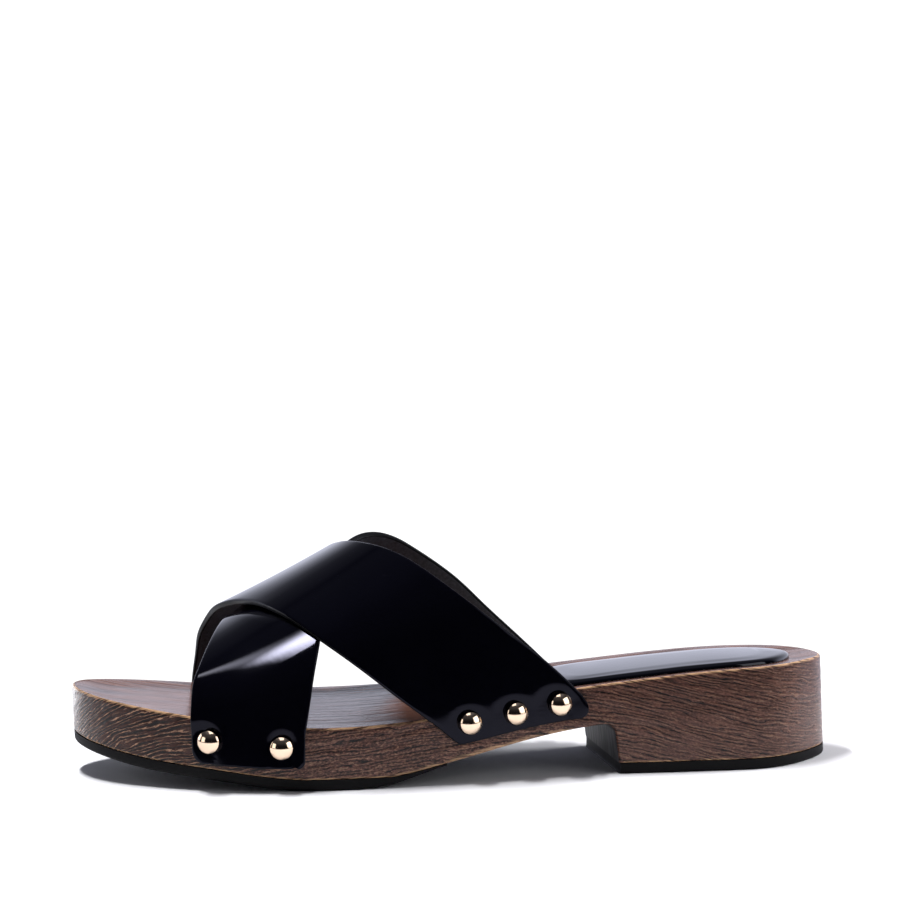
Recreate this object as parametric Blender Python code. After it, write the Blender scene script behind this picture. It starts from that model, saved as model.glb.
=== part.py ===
"""Left slide sandal: wood-look platform and heel in one block, crossed straps, domed studs and a heel pad.

Metres, +Z up. The toe points to -X and the outer side of the foot to -Y. Shapes are worked out with the toe
tip at x = 0, the foot's long axis at y = 0 and the floor at z = 0. The root empty then moves the whole shoe,
so that the origin lies under the middle of its bounding box.
"""

import math

import bmesh
import bpy
import numpy as np
from mathutils import Vector

MM = 0.001
MERGE_DISTANCE = 0.001 * MM
SHARP_ANGLE = math.radians(35)

# Sole block and its rubber
SOLE_LENGTH = 250 * MM
RUBBER_THICKNESS = 3.2 * MM
SEAT_GAP = 0.3 * MM
EDGE_ROUNDING = 0.8 * MM
BLOCK_LEAN = 0.033
BREAST_X = 173.5 * MM
BREAST_RUN = 0.8 * MM
BREAST_FILLET = 4 * MM
BREAST_SKEW = 0.03
HEEL_TAPER = 0.23
HEEL_TAPER_RUN = 10 * MM
FOREFOOT_FLAT = (0.29, 0.345)
OUTSOLE_END = 0.47
OUTSOLE_THIN_EDGE = 0.6 * MM
RUBBER_ROUNDING = 1.2 * MM
OUTLINE_STEPS = 56
STATION_GAP = 0.004
FILLET_STEPS = 4

# Half widths of the sole's outline on each side of the long axis, by share of the length
OUTLINE = {
    "share": (0.00, 0.03, 0.10, 0.22, 0.36, 0.50, 0.64, 0.78, 0.90, 0.97, 1.00),
    "outer_mm": (-6.0, 15.0, 29.5, 42.0, 44.0, 39.0, 32.0, 31.5, 29.0, 15.0, -1.5),
    "inner_mm": (6.0, 22.5, 34.0, 41.0, 44.0, 37.5, 28.5, 26.5, 25.0, 19.0, 1.5),
}
# Height of the footbed's rim: toe spring, ball, waist and heel seat
FOOTBED = {
    "share": (0.00, 0.15, 0.32, 0.45, 0.58, 0.72, 0.86, 1.00),
    "height_mm": (28.4, 23.2, 19.5, 21.1, 26.0, 30.1, 32.9, 33.3),
}
# Hollow of the footbed: its rings run in from the rim, and it is deepest from the hollow's reach inwards
FOOTBED_HOLLOW = 1.0 * MM
FOOTBED_HOLLOW_REACH = 12 * MM
FOOTBED_RINGS_MM = (0.8, 3.0, 7.0, 12.0, 18.0)
# Height of the block's underside from the toe to the heel breast, cut off flat where the forefoot stands
UNDERSIDE = {
    "share": (0.00, 0.08, 0.18, 0.29, 0.40, 0.48, 0.58, 0.72),
    "height_mm": (13.7, 9.7, 6.7, 3.5, 3.5, 7.3, 12.6, 17.2),
}

# Last that the straps are pulled over
LAST_RIM_DROP = 2 * MM
LAST_AXIS_Y = 4 * MM
BALL_X = 57 * MM
CREST_AT_BALL = 51.5 * MM
CREST_RISE = 0.56
SIDE_FULLNESS = 0.8
CREST_FULLNESS = 0.9
SECTION_STEPS = 90

# Straps
STRAP_THICKNESS = 2 * MM
CROSSING_BITE = 0.5 * MM
CLIMB_FROM, CLIMB_TO = 0.05, 0.20
FRONT_EDGE_CURL = 1.6 * MM
REAR_EDGE_CURL = 1.2 * MM
CURL_MIDDLE_GIRTH = 0.60
CURL_HALF_GIRTH = 0.24
STRAP_ROWS = 30
STRAP_COLUMNS = 9
FLAP_ROWS = (0.25, 0.5, 0.7, 0.85, 0.95, 1.0)

# Edges of both straps, behind the toe tip, by share of the girth from the outer rim to the inner rim
STRAP_EDGES = {
    "girth": (0.00, 0.06, 0.12, 0.20, 0.30, 0.40, 0.50, 0.60, 0.70, 0.80, 0.88, 0.94, 1.00),
    "under_front_mm": (39.0, 39.2, 39.8, 42.3, 45.3, 48.0, 51.2, 56.8, 66.5, 80.0, 92.5, 103.5, 115),
    "under_rear_mm": (73.5, 75.0, 76.5, 79.0, 81.3, 84.3, 89.0, 98.0, 113.5, 130.5, 142.5, 152.5, 163),
    "over_front_mm": (114, 102.5, 91.7, 78.3, 67.0, 60.6, 55.4, 50.0, 46.2, 42.5, 40.8, 39.6, 39),
    "over_rear_mm": (162, 151.5, 140.0, 125.7, 109.8, 96.8, 90.6, 86.8, 83.5, 80.2, 77.9, 76.0, 73.5),
}
# Strap ends on the sole's side wall: how far each edge runs on, and the wood left bare below
FLAPS = {
    "end": ("front", "rear"),
    "front_edge_shift_mm": (0.2, 7.0),
    "rear_edge_shift_mm": (-0.5, 4.0),
    "front_corner_mm": (3.5, 1.5),
    "rear_corner_mm": (2.5, 5.0),
    "front_bare_wood_mm": (1.9, 5.0),
    "rear_bare_wood_mm": (3.8, 3.6),
}

# Studs along each side wall
STUD_RADIUS = 3.8 * MM
STUD_RIM = 0.4 * MM
STUD_DOME = 2.9 * MM
STUD_SEGMENTS = 16
STUD_RINGS = 4
STUDS = {
    "x_mm": (44.9, 66.2, 124.6, 139.5, 154.3),
    "height_mm": (16.1, 14.3, 19.7, 21.8, 23.8),
}

# Heel pad
PAD_FRONT_X = 152 * MM
PAD_REAR_X = 239 * MM
PAD_OUTER_MARGIN = 8 * MM
PAD_INNER_MARGIN = 12 * MM
PAD_CORNER_POWER = 7
PAD_STEPS = 36
# Rings of the pad from its top over its round edge to the middle of its seat, above the footbed
PAD_RINGS = {
    "inset_mm": (9.0, 3.5, 1.2, 0.2, 0.0, 6.0),
    "height_mm": (1.9, 1.8, 1.5, 0.9, 0.0, 0.0),
}


def column(table, name):
    """A table's column, in metres where its name says that it is given in millimetres."""
    values = np.array(table[name], dtype=float)
    return values * MM if name.endswith("_mm") else values


def smooth_curve(at, knots, values):
    """Smooth curve through the knots, with each slope taken from the two neighbours."""
    step = np.diff(knots)
    rate = np.diff(values) / step
    slope = np.empty_like(values)
    slope[1:-1] = (rate[:-1] * step[1:] + rate[1:] * step[:-1]) / (step[1:] + step[:-1])
    slope[0] = 2 * rate[0] - slope[1]
    slope[-1] = 2 * rate[-1] - slope[-2]
    i = np.clip(np.searchsorted(knots, at, side="right") - 1, 0, len(knots) - 2)
    t = (at - knots[i]) / step[i]
    start = (2 * t**3 - 3 * t**2 + 1) * values[i] + (t**3 - 2 * t**2 + t) * step[i] * slope[i]
    end = (3 * t**2 - 2 * t**3) * values[i + 1] + (t**3 - t**2) * step[i] * slope[i + 1]
    return start + end


def smooth_step(t):
    t = np.clip(t, 0, 1)
    return t * t * (3 - 2 * t)


def round_angle(share):
    """Angle from 0 at the front tip to pi at the rear tip, so that a curve over it closes roundly."""
    return np.arccos(np.clip(1 - 2 * np.asarray(share, dtype=float), -1, 1))


def side_y(x, side):
    """Y of the sole's side wall; side is "outer" or "inner"."""
    knots = round_angle(OUTLINE["share"])
    width = smooth_curve(round_angle(x / SOLE_LENGTH), knots, column(OUTLINE, side + "_mm"))
    return -width if side == "outer" else width


def rim_height(x):
    return smooth_curve(x / SOLE_LENGTH, column(FOOTBED, "share"), column(FOOTBED, "height_mm"))


def footbed_height(x, y):
    """Height of the footbed, hollowed a little inside its rim."""
    from_sides = np.minimum(y - side_y(x, "outer"), side_y(x, "inner") - y)
    from_rim = np.minimum(from_sides, np.minimum(x, SOLE_LENGTH - x))
    return rim_height(x) - FOOTBED_HOLLOW * smooth_step(from_rim / FOOTBED_HOLLOW_REACH)


def underside_height(x):
    """Underside of the block: forefoot with its flat spot, arch, fillet, heel breast and heel."""
    standing = RUBBER_THICKNESS + SEAT_GAP
    arch = smooth_curve(x / SOLE_LENGTH, column(UNDERSIDE, "share"), column(UNDERSIDE, "height_mm"))
    into_fillet = np.clip(x - (BREAST_X - BREAST_FILLET), 0, BREAST_FILLET)
    arch = np.maximum(arch, standing) - (BREAST_FILLET - np.sqrt(BREAST_FILLET**2 - into_fillet**2))
    down_breast = np.clip((x - BREAST_X) / BREAST_RUN, 0, 1)
    return arch + (standing - arch) * down_breast


def lean(points):
    """Below the rim the block leans back, with all that is on its walls.

    There the heel also narrows on its inner side, and its breast stands a little askew.
    """
    points = np.array(points, dtype=float)
    x, y, z = points[..., 0], points[..., 1], points[..., 2]
    rim = rim_height(np.clip(x, 0, SOLE_LENGTH))
    below = np.maximum(0, rim - z)
    heel = smooth_step((x - BREAST_X) / HEEL_TAPER_RUN + 1) * below / rim
    points[..., 1] = np.where(y > 0, y * (1 - HEEL_TAPER * heel), y)
    to_back = np.clip((SOLE_LENGTH - x) / (SOLE_LENGTH - BREAST_X), 0, 1)
    skew = BREAST_SKEW * heel * to_back * (y - side_y(np.clip(x, 0, SOLE_LENGTH), "outer"))
    points[..., 0] = x + BLOCK_LEAN * below - skew
    return points


def material(name, colour, roughness, metallic=0.0, coat=0.0):
    made = bpy.data.materials.new(name)
    made.use_nodes = True
    shader = made.node_tree.nodes["Principled BSDF"]
    shader.inputs["Base Color"].default_value = (*colour, 1)
    shader.inputs["Roughness"].default_value = roughness
    shader.inputs["Metallic"].default_value = metallic
    shader.inputs["Coat Weight"].default_value = coat
    made.diffuse_color = (*colour, 1)
    return made


def add_object(name, points, faces, finish, root):
    """Mesh object from points and faces, with coinciding points joined and its faces turned out."""
    mesh = bpy.data.meshes.new(name)
    mesh.from_pydata([tuple(p) for p in points], [], faces)
    shape = bmesh.new()
    shape.from_mesh(mesh)
    bmesh.ops.remove_doubles(shape, verts=shape.verts, dist=MERGE_DISTANCE)
    bmesh.ops.triangulate(shape, faces=shape.faces)
    bmesh.ops.recalc_face_normals(shape, faces=shape.faces)
    shape.to_mesh(mesh)
    shape.free()
    mesh.shade_smooth()
    mesh.set_sharp_from_angle(angle=SHARP_ANGLE)
    mesh.materials.append(finish)
    made = bpy.data.objects.new(name, mesh)
    made.parent = root
    bpy.context.collection.objects.link(made)
    return made


def stacked_loops(loops):
    """Points and faces of a closed solid from loops that run out along one side and back along the other."""
    count = len(loops[0])
    half = count // 2
    points = np.concatenate(loops)
    faces = []
    for layer in range(len(loops) - 1):
        top, bottom = layer * count, (layer + 1) * count
        for i in range(count):
            j = (i + 1) % count
            faces.append((top + i, top + j, bottom + j, bottom + i))
    for start in (0, (len(loops) - 1) * count):
        for i in range(half - 1):
            across, across_next = count - 1 - i, count - 2 - i
            faces.append((start + i, start + i + 1, start + across_next, start + across))
    return points, faces


def sole_loop(x, inset, height=None):
    """One loop of the sole: the outer side from the front to the rear, then the inner side back to the front.

    Without a height the loop lies on the footbed.
    """
    angle = round_angle(x / SOLE_LENGTH)
    along = x + inset * np.cos(angle)
    outer = side_y(x, "outer") + inset * np.sin(angle)
    inner = side_y(x, "inner") - inset * np.sin(angle)
    loop = np.empty((2 * len(x), 3))
    loop[:, 0] = np.concatenate([along, along[::-1]])
    loop[:, 1] = np.concatenate([outer, inner[::-1]])
    if height is None:
        loop[:, 2] = footbed_height(loop[:, 0], loop[:, 1])
    else:
        loop[:, 2] = np.concatenate([height, height[::-1]])
    return lean(loop)


def outline_stations(start=0.0, end=1.0, extra=()):
    """Stations along the sole, closer together towards its round ends, with some that must be there."""
    regular = (1 - np.cos(np.linspace(0, math.pi, OUTLINE_STEPS + 1))) / 2
    fixed = np.array([start, end, *extra])
    apart = np.abs(regular[:, None] - fixed[None, :]).min(axis=1)
    inside = regular[(regular > start) & (regular < end) & (apart > STATION_GAP)]
    return SOLE_LENGTH * np.sort(np.concatenate([inside, fixed]))


def make_wood_sole(finish, root):
    bend = np.linspace(0, math.pi / 2, FILLET_STEPS + 1)
    fillet = BREAST_X - BREAST_FILLET * (1 - np.sin(bend))
    breast = np.append(fillet, BREAST_X + BREAST_RUN) / SOLE_LENGTH
    x = outline_stations(extra=(*FOREFOOT_FLAT, *breast))
    rim, under = rim_height(x), underside_height(x)
    loops = [sole_loop(x, inset * MM) for inset in FOOTBED_RINGS_MM[::-1]]
    loops += [
        sole_loop(x, 0, rim - EDGE_ROUNDING),
        sole_loop(x, 0, under + EDGE_ROUNDING),
        sole_loop(x, EDGE_ROUNDING, under),
    ]
    return add_object("wood_sole", *stacked_loops(loops), finish, root)


def make_forefoot_outsole(finish, root):
    """Rubber sheet under the forefoot, with a flat spot to stand on, thinning to its end in the arch."""
    x = outline_stations(end=OUTSOLE_END, extra=FOREFOOT_FLAT)
    top = underside_height(x) - SEAT_GAP
    thinning = smooth_step((x / SOLE_LENGTH - FOREFOOT_FLAT[1]) / (OUTSOLE_END - FOREFOOT_FLAT[1]))
    thickness = RUBBER_THICKNESS + (OUTSOLE_THIN_EDGE - RUBBER_THICKNESS) * thinning
    rounding = np.minimum(RUBBER_ROUNDING, thickness / 2)
    bottom = top - thickness
    loops = [sole_loop(x, 0, top), sole_loop(x, 0, bottom + rounding), sole_loop(x, rounding, bottom)]
    return add_object("forefoot_outsole", *stacked_loops(loops), finish, root)


def make_heel_top_lift(finish, root):
    x = outline_stations(start=(BREAST_X + BREAST_RUN) / SOLE_LENGTH)
    levels = ((0, RUBBER_THICKNESS), (0, RUBBER_ROUNDING), (RUBBER_ROUNDING, 0))
    loops = [sole_loop(x, inset, np.full_like(x, height)) for inset, height in levels]
    return add_object("heel_top_lift", *stacked_loops(loops), finish, root)


def make_heel_pad(finish, root):
    """Padded sock in the hollow of the heel seat, with a round edge."""
    share = (1 - np.cos(np.linspace(0, math.pi, PAD_STEPS + 1))) / 2
    x = PAD_FRONT_X + (PAD_REAR_X - PAD_FRONT_X) * share
    ends = np.sqrt(1 - np.abs(2 * share - 1) ** PAD_CORNER_POWER)
    outer_edge = side_y(x, "outer") + PAD_OUTER_MARGIN
    inner_edge = side_y(x, "inner") - PAD_INNER_MARGIN
    middle, half = (outer_edge + inner_edge) / 2, (inner_edge - outer_edge) / 2 * ends
    angle = round_angle(share)
    loops = []
    for inset, height in zip(column(PAD_RINGS, "inset_mm"), column(PAD_RINGS, "height_mm")):
        along = x + inset * np.cos(angle)
        width = half - np.minimum(inset, half) * np.sin(angle)
        loop = np.empty((2 * len(x), 3))
        loop[:, 0] = np.concatenate([along, along[::-1]])
        loop[:, 1] = np.concatenate([middle - width, (middle + width)[::-1]])
        loop[:, 2] = footbed_height(loop[:, 0], loop[:, 1]) + SEAT_GAP + height
        loops.append(loop)
    return add_object("heel_pad", *stacked_loops(loops), finish, root)


def last_point(x, girth):
    """Point on the last: its section at x runs over the crest from the outer rim to the inner rim."""
    turn = np.linspace(0, math.pi, SECTION_STEPS + 1)
    outward, up = np.cos(turn), np.sin(turn)
    edge = np.where(outward > 0, side_y(x, "outer"), side_y(x, "inner"))
    y = LAST_AXIS_Y + (edge - LAST_AXIS_Y) * np.abs(outward) ** SIDE_FULLNESS
    foot = rim_height(x) - LAST_RIM_DROP
    crest = CREST_AT_BALL + CREST_RISE * (x - BALL_X)
    z = foot + (crest - foot) * up**CREST_FULLNESS
    run = np.concatenate([[0], np.cumsum(np.hypot(np.diff(y), np.diff(z)))])
    return x, np.interp(girth * run[-1], run, y), np.interp(girth * run[-1], run, z)


def flap_rows(side, end, edges):
    """Rows of a strap's end down the side wall, from below the rim to its lower edge with round corners."""
    row = FLAPS["end"].index(end)
    flap = {name: column(FLAPS, name)[row] for name in FLAPS if name != "end"}
    across = np.linspace(0, 1, STRAP_COLUMNS)
    bare_wood = flap["front_bare_wood_mm"] + (flap["rear_bare_wood_mm"] - flap["front_bare_wood_mm"]) * across
    rows = []
    for down in FLAP_ROWS:
        front = edges[0] + flap["front_edge_shift_mm"] * down
        rear = edges[1] + flap["rear_edge_shift_mm"] * down
        middle = (front + rear) / 2
        drop = rim_height(middle) - LAST_RIM_DROP - underside_height(middle) - bare_wood.mean()
        above_edge = drop * (1 - down)
        front += corner_inset(flap["front_corner_mm"], above_edge)
        rear -= corner_inset(flap["rear_corner_mm"], above_edge)
        x = front + (rear - front) * across
        z_rim = rim_height(x) - LAST_RIM_DROP
        z = z_rim + (underside_height(x) + bare_wood - z_rim) * down
        rows.append(np.stack([x, side_y(x, side), z], axis=-1))
    return rows


def corner_inset(radius, above_edge):
    """How far a round corner draws the side in, at a height above the edge that it runs into."""
    into_corner = np.clip(radius - above_edge, 0, radius)
    return radius - np.sqrt(radius**2 - into_corner**2)


def strap_surface(kind, outer_end, inner_end):
    """Grid of points of a strap: rows run from the outer flap over the last's crest to the inner flap."""
    front = smooth_curve_of(kind + "_front_mm")
    rear = smooth_curve_of(kind + "_rear_mm")
    across = np.linspace(0, 1, STRAP_COLUMNS)
    girths = np.linspace(0, 1, STRAP_ROWS + 1)
    rows = []
    for girth in girths:
        x_row = front(girth) + (rear(girth) - front(girth)) * across
        rows.append(np.array([last_point(x, girth) for x in x_row]))
    outer_rows = flap_rows("outer", outer_end, (front(0.0), rear(0.0)))[::-1]
    inner_rows = flap_rows("inner", inner_end, (front(1.0), rear(1.0)))
    girth_of_row = np.concatenate([np.zeros(len(outer_rows)), girths, np.ones(len(inner_rows))])
    return np.array(outer_rows + rows + inner_rows), girth_of_row, across


def smooth_curve_of(edge):
    """Function of girth that gives a strap edge's distance behind the toe tip."""
    girths, places = column(STRAP_EDGES, "girth"), column(STRAP_EDGES, edge)
    return lambda girth: smooth_curve(np.array(girth), girths, places)


def strap_shell(surface, lift):
    """Points and faces of a closed strap: an inner face off the last, and an outer one a thickness up."""
    along, sideways = np.gradient(surface, axis=0), np.gradient(surface, axis=1)
    normal = np.cross(sideways, along)
    normal /= np.linalg.norm(normal, axis=-1, keepdims=True)
    inner = surface + normal * (SEAT_GAP + lift)[..., None]
    outer = inner + normal * STRAP_THICKNESS
    rows, columns = lift.shape
    points = np.concatenate([inner.reshape(-1, 3), outer.reshape(-1, 3)])
    top = rows * columns
    faces = []
    for r in range(rows - 1):
        for c in range(columns - 1):
            a, b = r * columns + c, (r + 1) * columns + c
            faces.append((a, b, b + 1, a + 1))
            faces.append((top + a, top + a + 1, top + b + 1, top + b))
    border = list(range(columns))
    border += [r * columns + columns - 1 for r in range(1, rows)]
    border += [(rows - 1) * columns + c for c in range(columns - 2, -1, -1)]
    border += [r * columns for r in range(rows - 2, 0, -1)]
    for a, b in zip(border, border[1:] + border[:1]):
        faces.append((a, b, top + b, top + a))
    return lean(points), faces


def curl(girth, across):
    """Share of an edge's curl: strongest at the edge and around one girth."""
    around = smooth_step(1 - np.abs(girth - CURL_MIDDLE_GIRTH) / CURL_HALF_GIRTH)
    return around[:, None] * np.clip(1 - across, 0, 1)[None, :] ** 2


def make_upper(finish, root):
    """Two straps in one solid: the one that ends at the outer rear climbs over the other where they cross."""
    under, girth, across = strap_surface("under", "front", "rear")
    under_lift = REAR_EDGE_CURL * curl(girth, 1 - across)
    strap_under = add_object("strap_under", *strap_shell(under, under_lift), finish, root)
    strap_under.hide_render = True
    strap_under.display_type = "WIRE"

    over, girth, across = strap_surface("over", "rear", "front")
    rise = (np.minimum(girth, 1 - girth) - CLIMB_FROM) / (CLIMB_TO - CLIMB_FROM)
    climb = (STRAP_THICKNESS - CROSSING_BITE) * smooth_step(rise)
    over_lift = climb[:, None] + FRONT_EDGE_CURL * curl(girth, across)
    upper = add_object("upper", *strap_shell(over, over_lift), finish, root)
    joined = upper.modifiers.new("join_crossing", "BOOLEAN")
    joined.operation = "UNION"
    joined.solver = "EXACT"
    joined.object = strap_under
    return upper


def stud_mesh_points():
    """Dome with a short straight rim and a flat back, standing on z = 0."""
    turns = np.linspace(0, 2 * math.pi, STUD_SEGMENTS, endpoint=False)
    rise = np.linspace(0, math.pi / 2, STUD_RINGS + 1)[:-1]
    rings = [(STUD_RADIUS, 0.0)]
    rings += [(STUD_RADIUS * math.cos(a), STUD_RIM + STUD_DOME * math.sin(a)) for a in rise]
    points = [(r * math.cos(t), r * math.sin(t), z) for r, z in rings for t in turns]
    top = len(points)
    points.append((0, 0, STUD_RIM + STUD_DOME))
    faces = [tuple(range(STUD_SEGMENTS))]
    for ring in range(len(rings) - 1):
        for i in range(STUD_SEGMENTS):
            a = ring * STUD_SEGMENTS + i
            b = ring * STUD_SEGMENTS + (i + 1) % STUD_SEGMENTS
            faces.append((a, b, b + STUD_SEGMENTS, a + STUD_SEGMENTS))
    last = (len(rings) - 1) * STUD_SEGMENTS
    faces += [(last + i, last + (i + 1) % STUD_SEGMENTS, top) for i in range(STUD_SEGMENTS)]
    return points, faces


def make_studs(finish, root):
    """Five studs on each side, each seated on the strap's outer face and pointing out of the wall."""
    reach = 1 * MM
    first = None
    for side in ("outer", "inner"):
        for number, (x, z) in enumerate(zip(column(STUDS, "x_mm"), column(STUDS, "height_mm")), start=1):
            name = f"stud_{side}_{number}"
            if first is None:
                first = add_object(name, *stud_mesh_points(), finish, root)
                stud = first
            else:
                stud = bpy.data.objects.new(name, first.data)
                stud.parent = root
                bpy.context.collection.objects.link(stud)
            bend = float(side_y(x + reach, side) - side_y(x - reach, side))
            along = Vector((2 * reach, bend, 0)).normalized()
            out = along.cross(Vector((0, 0, 1))) if side == "outer" else Vector((0, 0, 1)).cross(along)
            seat = Vector((x, float(side_y(x, side)), z)) + out * (SEAT_GAP + STRAP_THICKNESS + SEAT_GAP)
            stud.location = Vector(lean(seat))
            stud.rotation_mode = "QUATERNION"
            stud.rotation_quaternion = out.to_track_quat("Z", "Y")


def centre_on_origin(root):
    """Moves the root so that the origin lies under the middle of the shoe's bounding box."""
    bpy.context.view_layer.update()
    corners = np.array([tuple(o.matrix_world @ v.co) for o in root.children for v in o.data.vertices])
    middle = (corners.min(axis=0) + corners.max(axis=0)) / 2
    root.location = (-middle[0], -middle[1], -corners[:, 2].min())


def main():
    for old in list(bpy.data.objects):
        bpy.data.objects.remove(old, do_unlink=True)
    root = bpy.data.objects.new("slide_sandal", None)
    bpy.context.collection.objects.link(root)

    stained_wood = material("stained_wood", (0.105, 0.058, 0.040), 0.5)
    black_rubber = material("black_rubber", (0.012, 0.012, 0.013), 0.65)
    black_patent = material("black_patent", (0.004, 0.004, 0.005), 0.12, coat=1.0)
    pale_gold = material("pale_gold", (0.90, 0.72, 0.50), 0.15, metallic=1.0)

    make_wood_sole(stained_wood, root)
    make_forefoot_outsole(black_rubber, root)
    make_heel_top_lift(black_rubber, root)
    make_heel_pad(black_patent, root)
    make_upper(black_patent, root)
    make_studs(pale_gold, root)
    centre_on_origin(root)


main()
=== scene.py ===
# %% [markdown]
# # A slide sandal with crossed patent straps
# The shoe is a left slide: a moulded block with a wood grain, two straps of black patent leather that
# cross over the foot, dome-headed studs, rubber treads and a padded heel pad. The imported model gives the
# place and size of each piece. This lesson builds every piece again with round edges and fine meshes, and
# gives it the finish of the real material.

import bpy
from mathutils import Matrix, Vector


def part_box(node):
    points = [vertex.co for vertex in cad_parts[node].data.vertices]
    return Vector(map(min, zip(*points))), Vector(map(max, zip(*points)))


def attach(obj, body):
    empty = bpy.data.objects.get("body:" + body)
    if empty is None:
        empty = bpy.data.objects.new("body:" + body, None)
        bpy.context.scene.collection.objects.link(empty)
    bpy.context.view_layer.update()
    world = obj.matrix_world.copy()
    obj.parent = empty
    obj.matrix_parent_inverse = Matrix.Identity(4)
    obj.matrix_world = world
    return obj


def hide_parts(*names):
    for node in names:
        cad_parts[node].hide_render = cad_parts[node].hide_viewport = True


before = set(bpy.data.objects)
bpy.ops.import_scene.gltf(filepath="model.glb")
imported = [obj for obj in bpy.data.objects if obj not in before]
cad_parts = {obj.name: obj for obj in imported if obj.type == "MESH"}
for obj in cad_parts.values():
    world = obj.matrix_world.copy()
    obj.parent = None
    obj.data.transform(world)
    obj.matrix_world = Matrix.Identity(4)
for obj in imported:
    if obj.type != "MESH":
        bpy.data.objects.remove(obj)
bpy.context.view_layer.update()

# %% [markdown]
# ## Tools for finishes
# Every finish in this lesson is a small tree of shader nodes, and two helpers serve them all. One turns
# the given hex colours into the linear light that shaders work in. The other adds a node and wires it in
# a single call. Each material then has its own function, named for what the real one is.

# %% Helpers for finishes
import math

import bmesh
import bpy
import numpy as np
from mathutils import Matrix, Quaternion, Vector, noise

MM = 0.001


def srgb(code):
    """Linear RGBA of an sRGB hex code."""
    channels = [int(code[i:i + 2], 16) / 255 for i in (1, 3, 5)]
    return (*(c / 12.92 if c <= 0.04045 else ((c + 0.055) / 1.055) ** 2.4 for c in channels), 1.0)


def add_node(tree, kind, inputs=None, **settings):
    """Adds a node with its settings, and fills its inputs with values or with other nodes' outputs."""
    node = tree.nodes.new(kind)
    for name, value in settings.items():
        setattr(node, name, value)
    for socket, value in (inputs or {}).items():
        if isinstance(value, bpy.types.NodeSocket):
            tree.links.new(value, node.inputs[socket])
        else:
            node.inputs[socket].default_value = value
    return node


def new_finish(name):
    """A material with its node tree and its shader."""
    finish = bpy.data.materials.new(name)
    finish.use_nodes = True
    return finish, finish.node_tree, finish.node_tree.nodes["Principled BSDF"]


print("middle grey in linear light:", round(srgb("#808080")[0], 3))

# %% [markdown]
# ## The form of the sole
# A sole is drawn as a pattern maker draws it: half widths on both sides of a long axis, the height of the
# footbed's rim, and the height of the underside. It could be carved from a box by hand, but a few
# stations with smooth curves through them give every point between, and any of them can be changed later.
# The block leans back a little below its rim, and the heel narrows on its inner side.

# %% Sizes of the sole
SOLE_LENGTH = 250 * MM
RUBBER_THICKNESS = 3.2 * MM
SEAT_GAP = 0.3 * MM
EDGE_ROUNDING = 0.8 * MM
OUTLINE = {
    "share": (0.00, 0.03, 0.10, 0.22, 0.36, 0.50, 0.64, 0.78, 0.90, 0.97, 1.00),
    "outer_mm": (-6.0, 15.0, 29.5, 42.0, 44.0, 39.0, 32.0, 31.5, 29.0, 15.0, -1.5),
    "inner_mm": (6.0, 22.5, 34.0, 41.0, 44.0, 37.5, 28.5, 26.5, 25.0, 19.0, 1.5),
}
FOOTBED = {
    "share": (0.00, 0.15, 0.32, 0.45, 0.58, 0.72, 0.86, 1.00),
    "height_mm": (28.4, 23.2, 19.5, 21.1, 26.0, 30.1, 32.9, 33.3),
}
UNDERSIDE = {
    "share": (0.00, 0.08, 0.18, 0.29, 0.40, 0.48, 0.58, 0.72),
    "height_mm": (13.7, 9.7, 6.7, 3.5, 3.5, 7.3, 12.6, 17.2),
}
print("sole length, mm:", round(SOLE_LENGTH / MM), "heel at the back, mm:", FOOTBED["height_mm"][-1])

# %% Smooth curves
FINE_STEPS = 2000


def column(table, name):
    """A table's column, in metres where its name says that it is given in millimetres."""
    values = np.array(table[name], dtype=float)
    return values * MM if name.endswith("_mm") else values


def table_row(table, number):
    """One row of a table by its columns' names without the unit, with lengths in metres."""
    return {name.removesuffix("_mm"): column(table, name)[number] for name in table}


def smooth_curve(at, knots, values):
    """Smooth curve through the knots, with each slope taken from the two neighbours."""
    step = np.diff(knots)
    rate = np.diff(values) / step
    slope = np.empty_like(values)
    slope[1:-1] = (rate[:-1] * step[1:] + rate[1:] * step[:-1]) / (step[1:] + step[:-1])
    slope[0] = 2 * rate[0] - slope[1]
    slope[-1] = 2 * rate[-1] - slope[-2]
    i = np.clip(np.searchsorted(knots, at, side="right") - 1, 0, len(knots) - 2)
    t = (at - knots[i]) / step[i]
    start = (2 * t**3 - 3 * t**2 + 1) * values[i] + (t**3 - 2 * t**2 + t) * step[i] * slope[i]
    end = (3 * t**2 - 2 * t**3) * values[i + 1] + (t**3 - t**2) * step[i] * slope[i + 1]
    return start + end


def smooth_step(t):
    """Soft rise from 0 to 1."""
    t = np.clip(t, 0, 1)
    return t * t * (3 - 2 * t)


def round_angle(share):
    """Angle from 0 at the front tip to pi at the rear tip, so that a curve over it closes roundly."""
    return np.arccos(np.clip(1 - 2 * np.asarray(share, dtype=float), -1, 1))


def side_y(x, side):
    """Y of the sole's side wall; side is "outer" or "inner"."""
    knots = round_angle(OUTLINE["share"])
    width = smooth_curve(round_angle(x / SOLE_LENGTH), knots, column(OUTLINE, side + "_mm"))
    return -width if side == "outer" else width


outer_edge = side_y(np.linspace(0, SOLE_LENGTH, FINE_STEPS + 1), "outer")
print("widest on the outer side, mm:", round(-outer_edge.min() / MM, 1))

# %% Footbed, underside and lean
FOOTBED_HOLLOW = 1.0 * MM
FOOTBED_HOLLOW_REACH = 12 * MM
BREAST_X = 173.5 * MM
BREAST_RUN = 0.8 * MM
BREAST_FILLET = 4 * MM
BREAST_SKEW = 0.03
BLOCK_LEAN = 0.033
HEEL_TAPER = 0.23
HEEL_TAPER_RUN = 10 * MM


def rim_height(x):
    """Height of the footbed's rim."""
    return smooth_curve(x / SOLE_LENGTH, column(FOOTBED, "share"), column(FOOTBED, "height_mm"))


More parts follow.
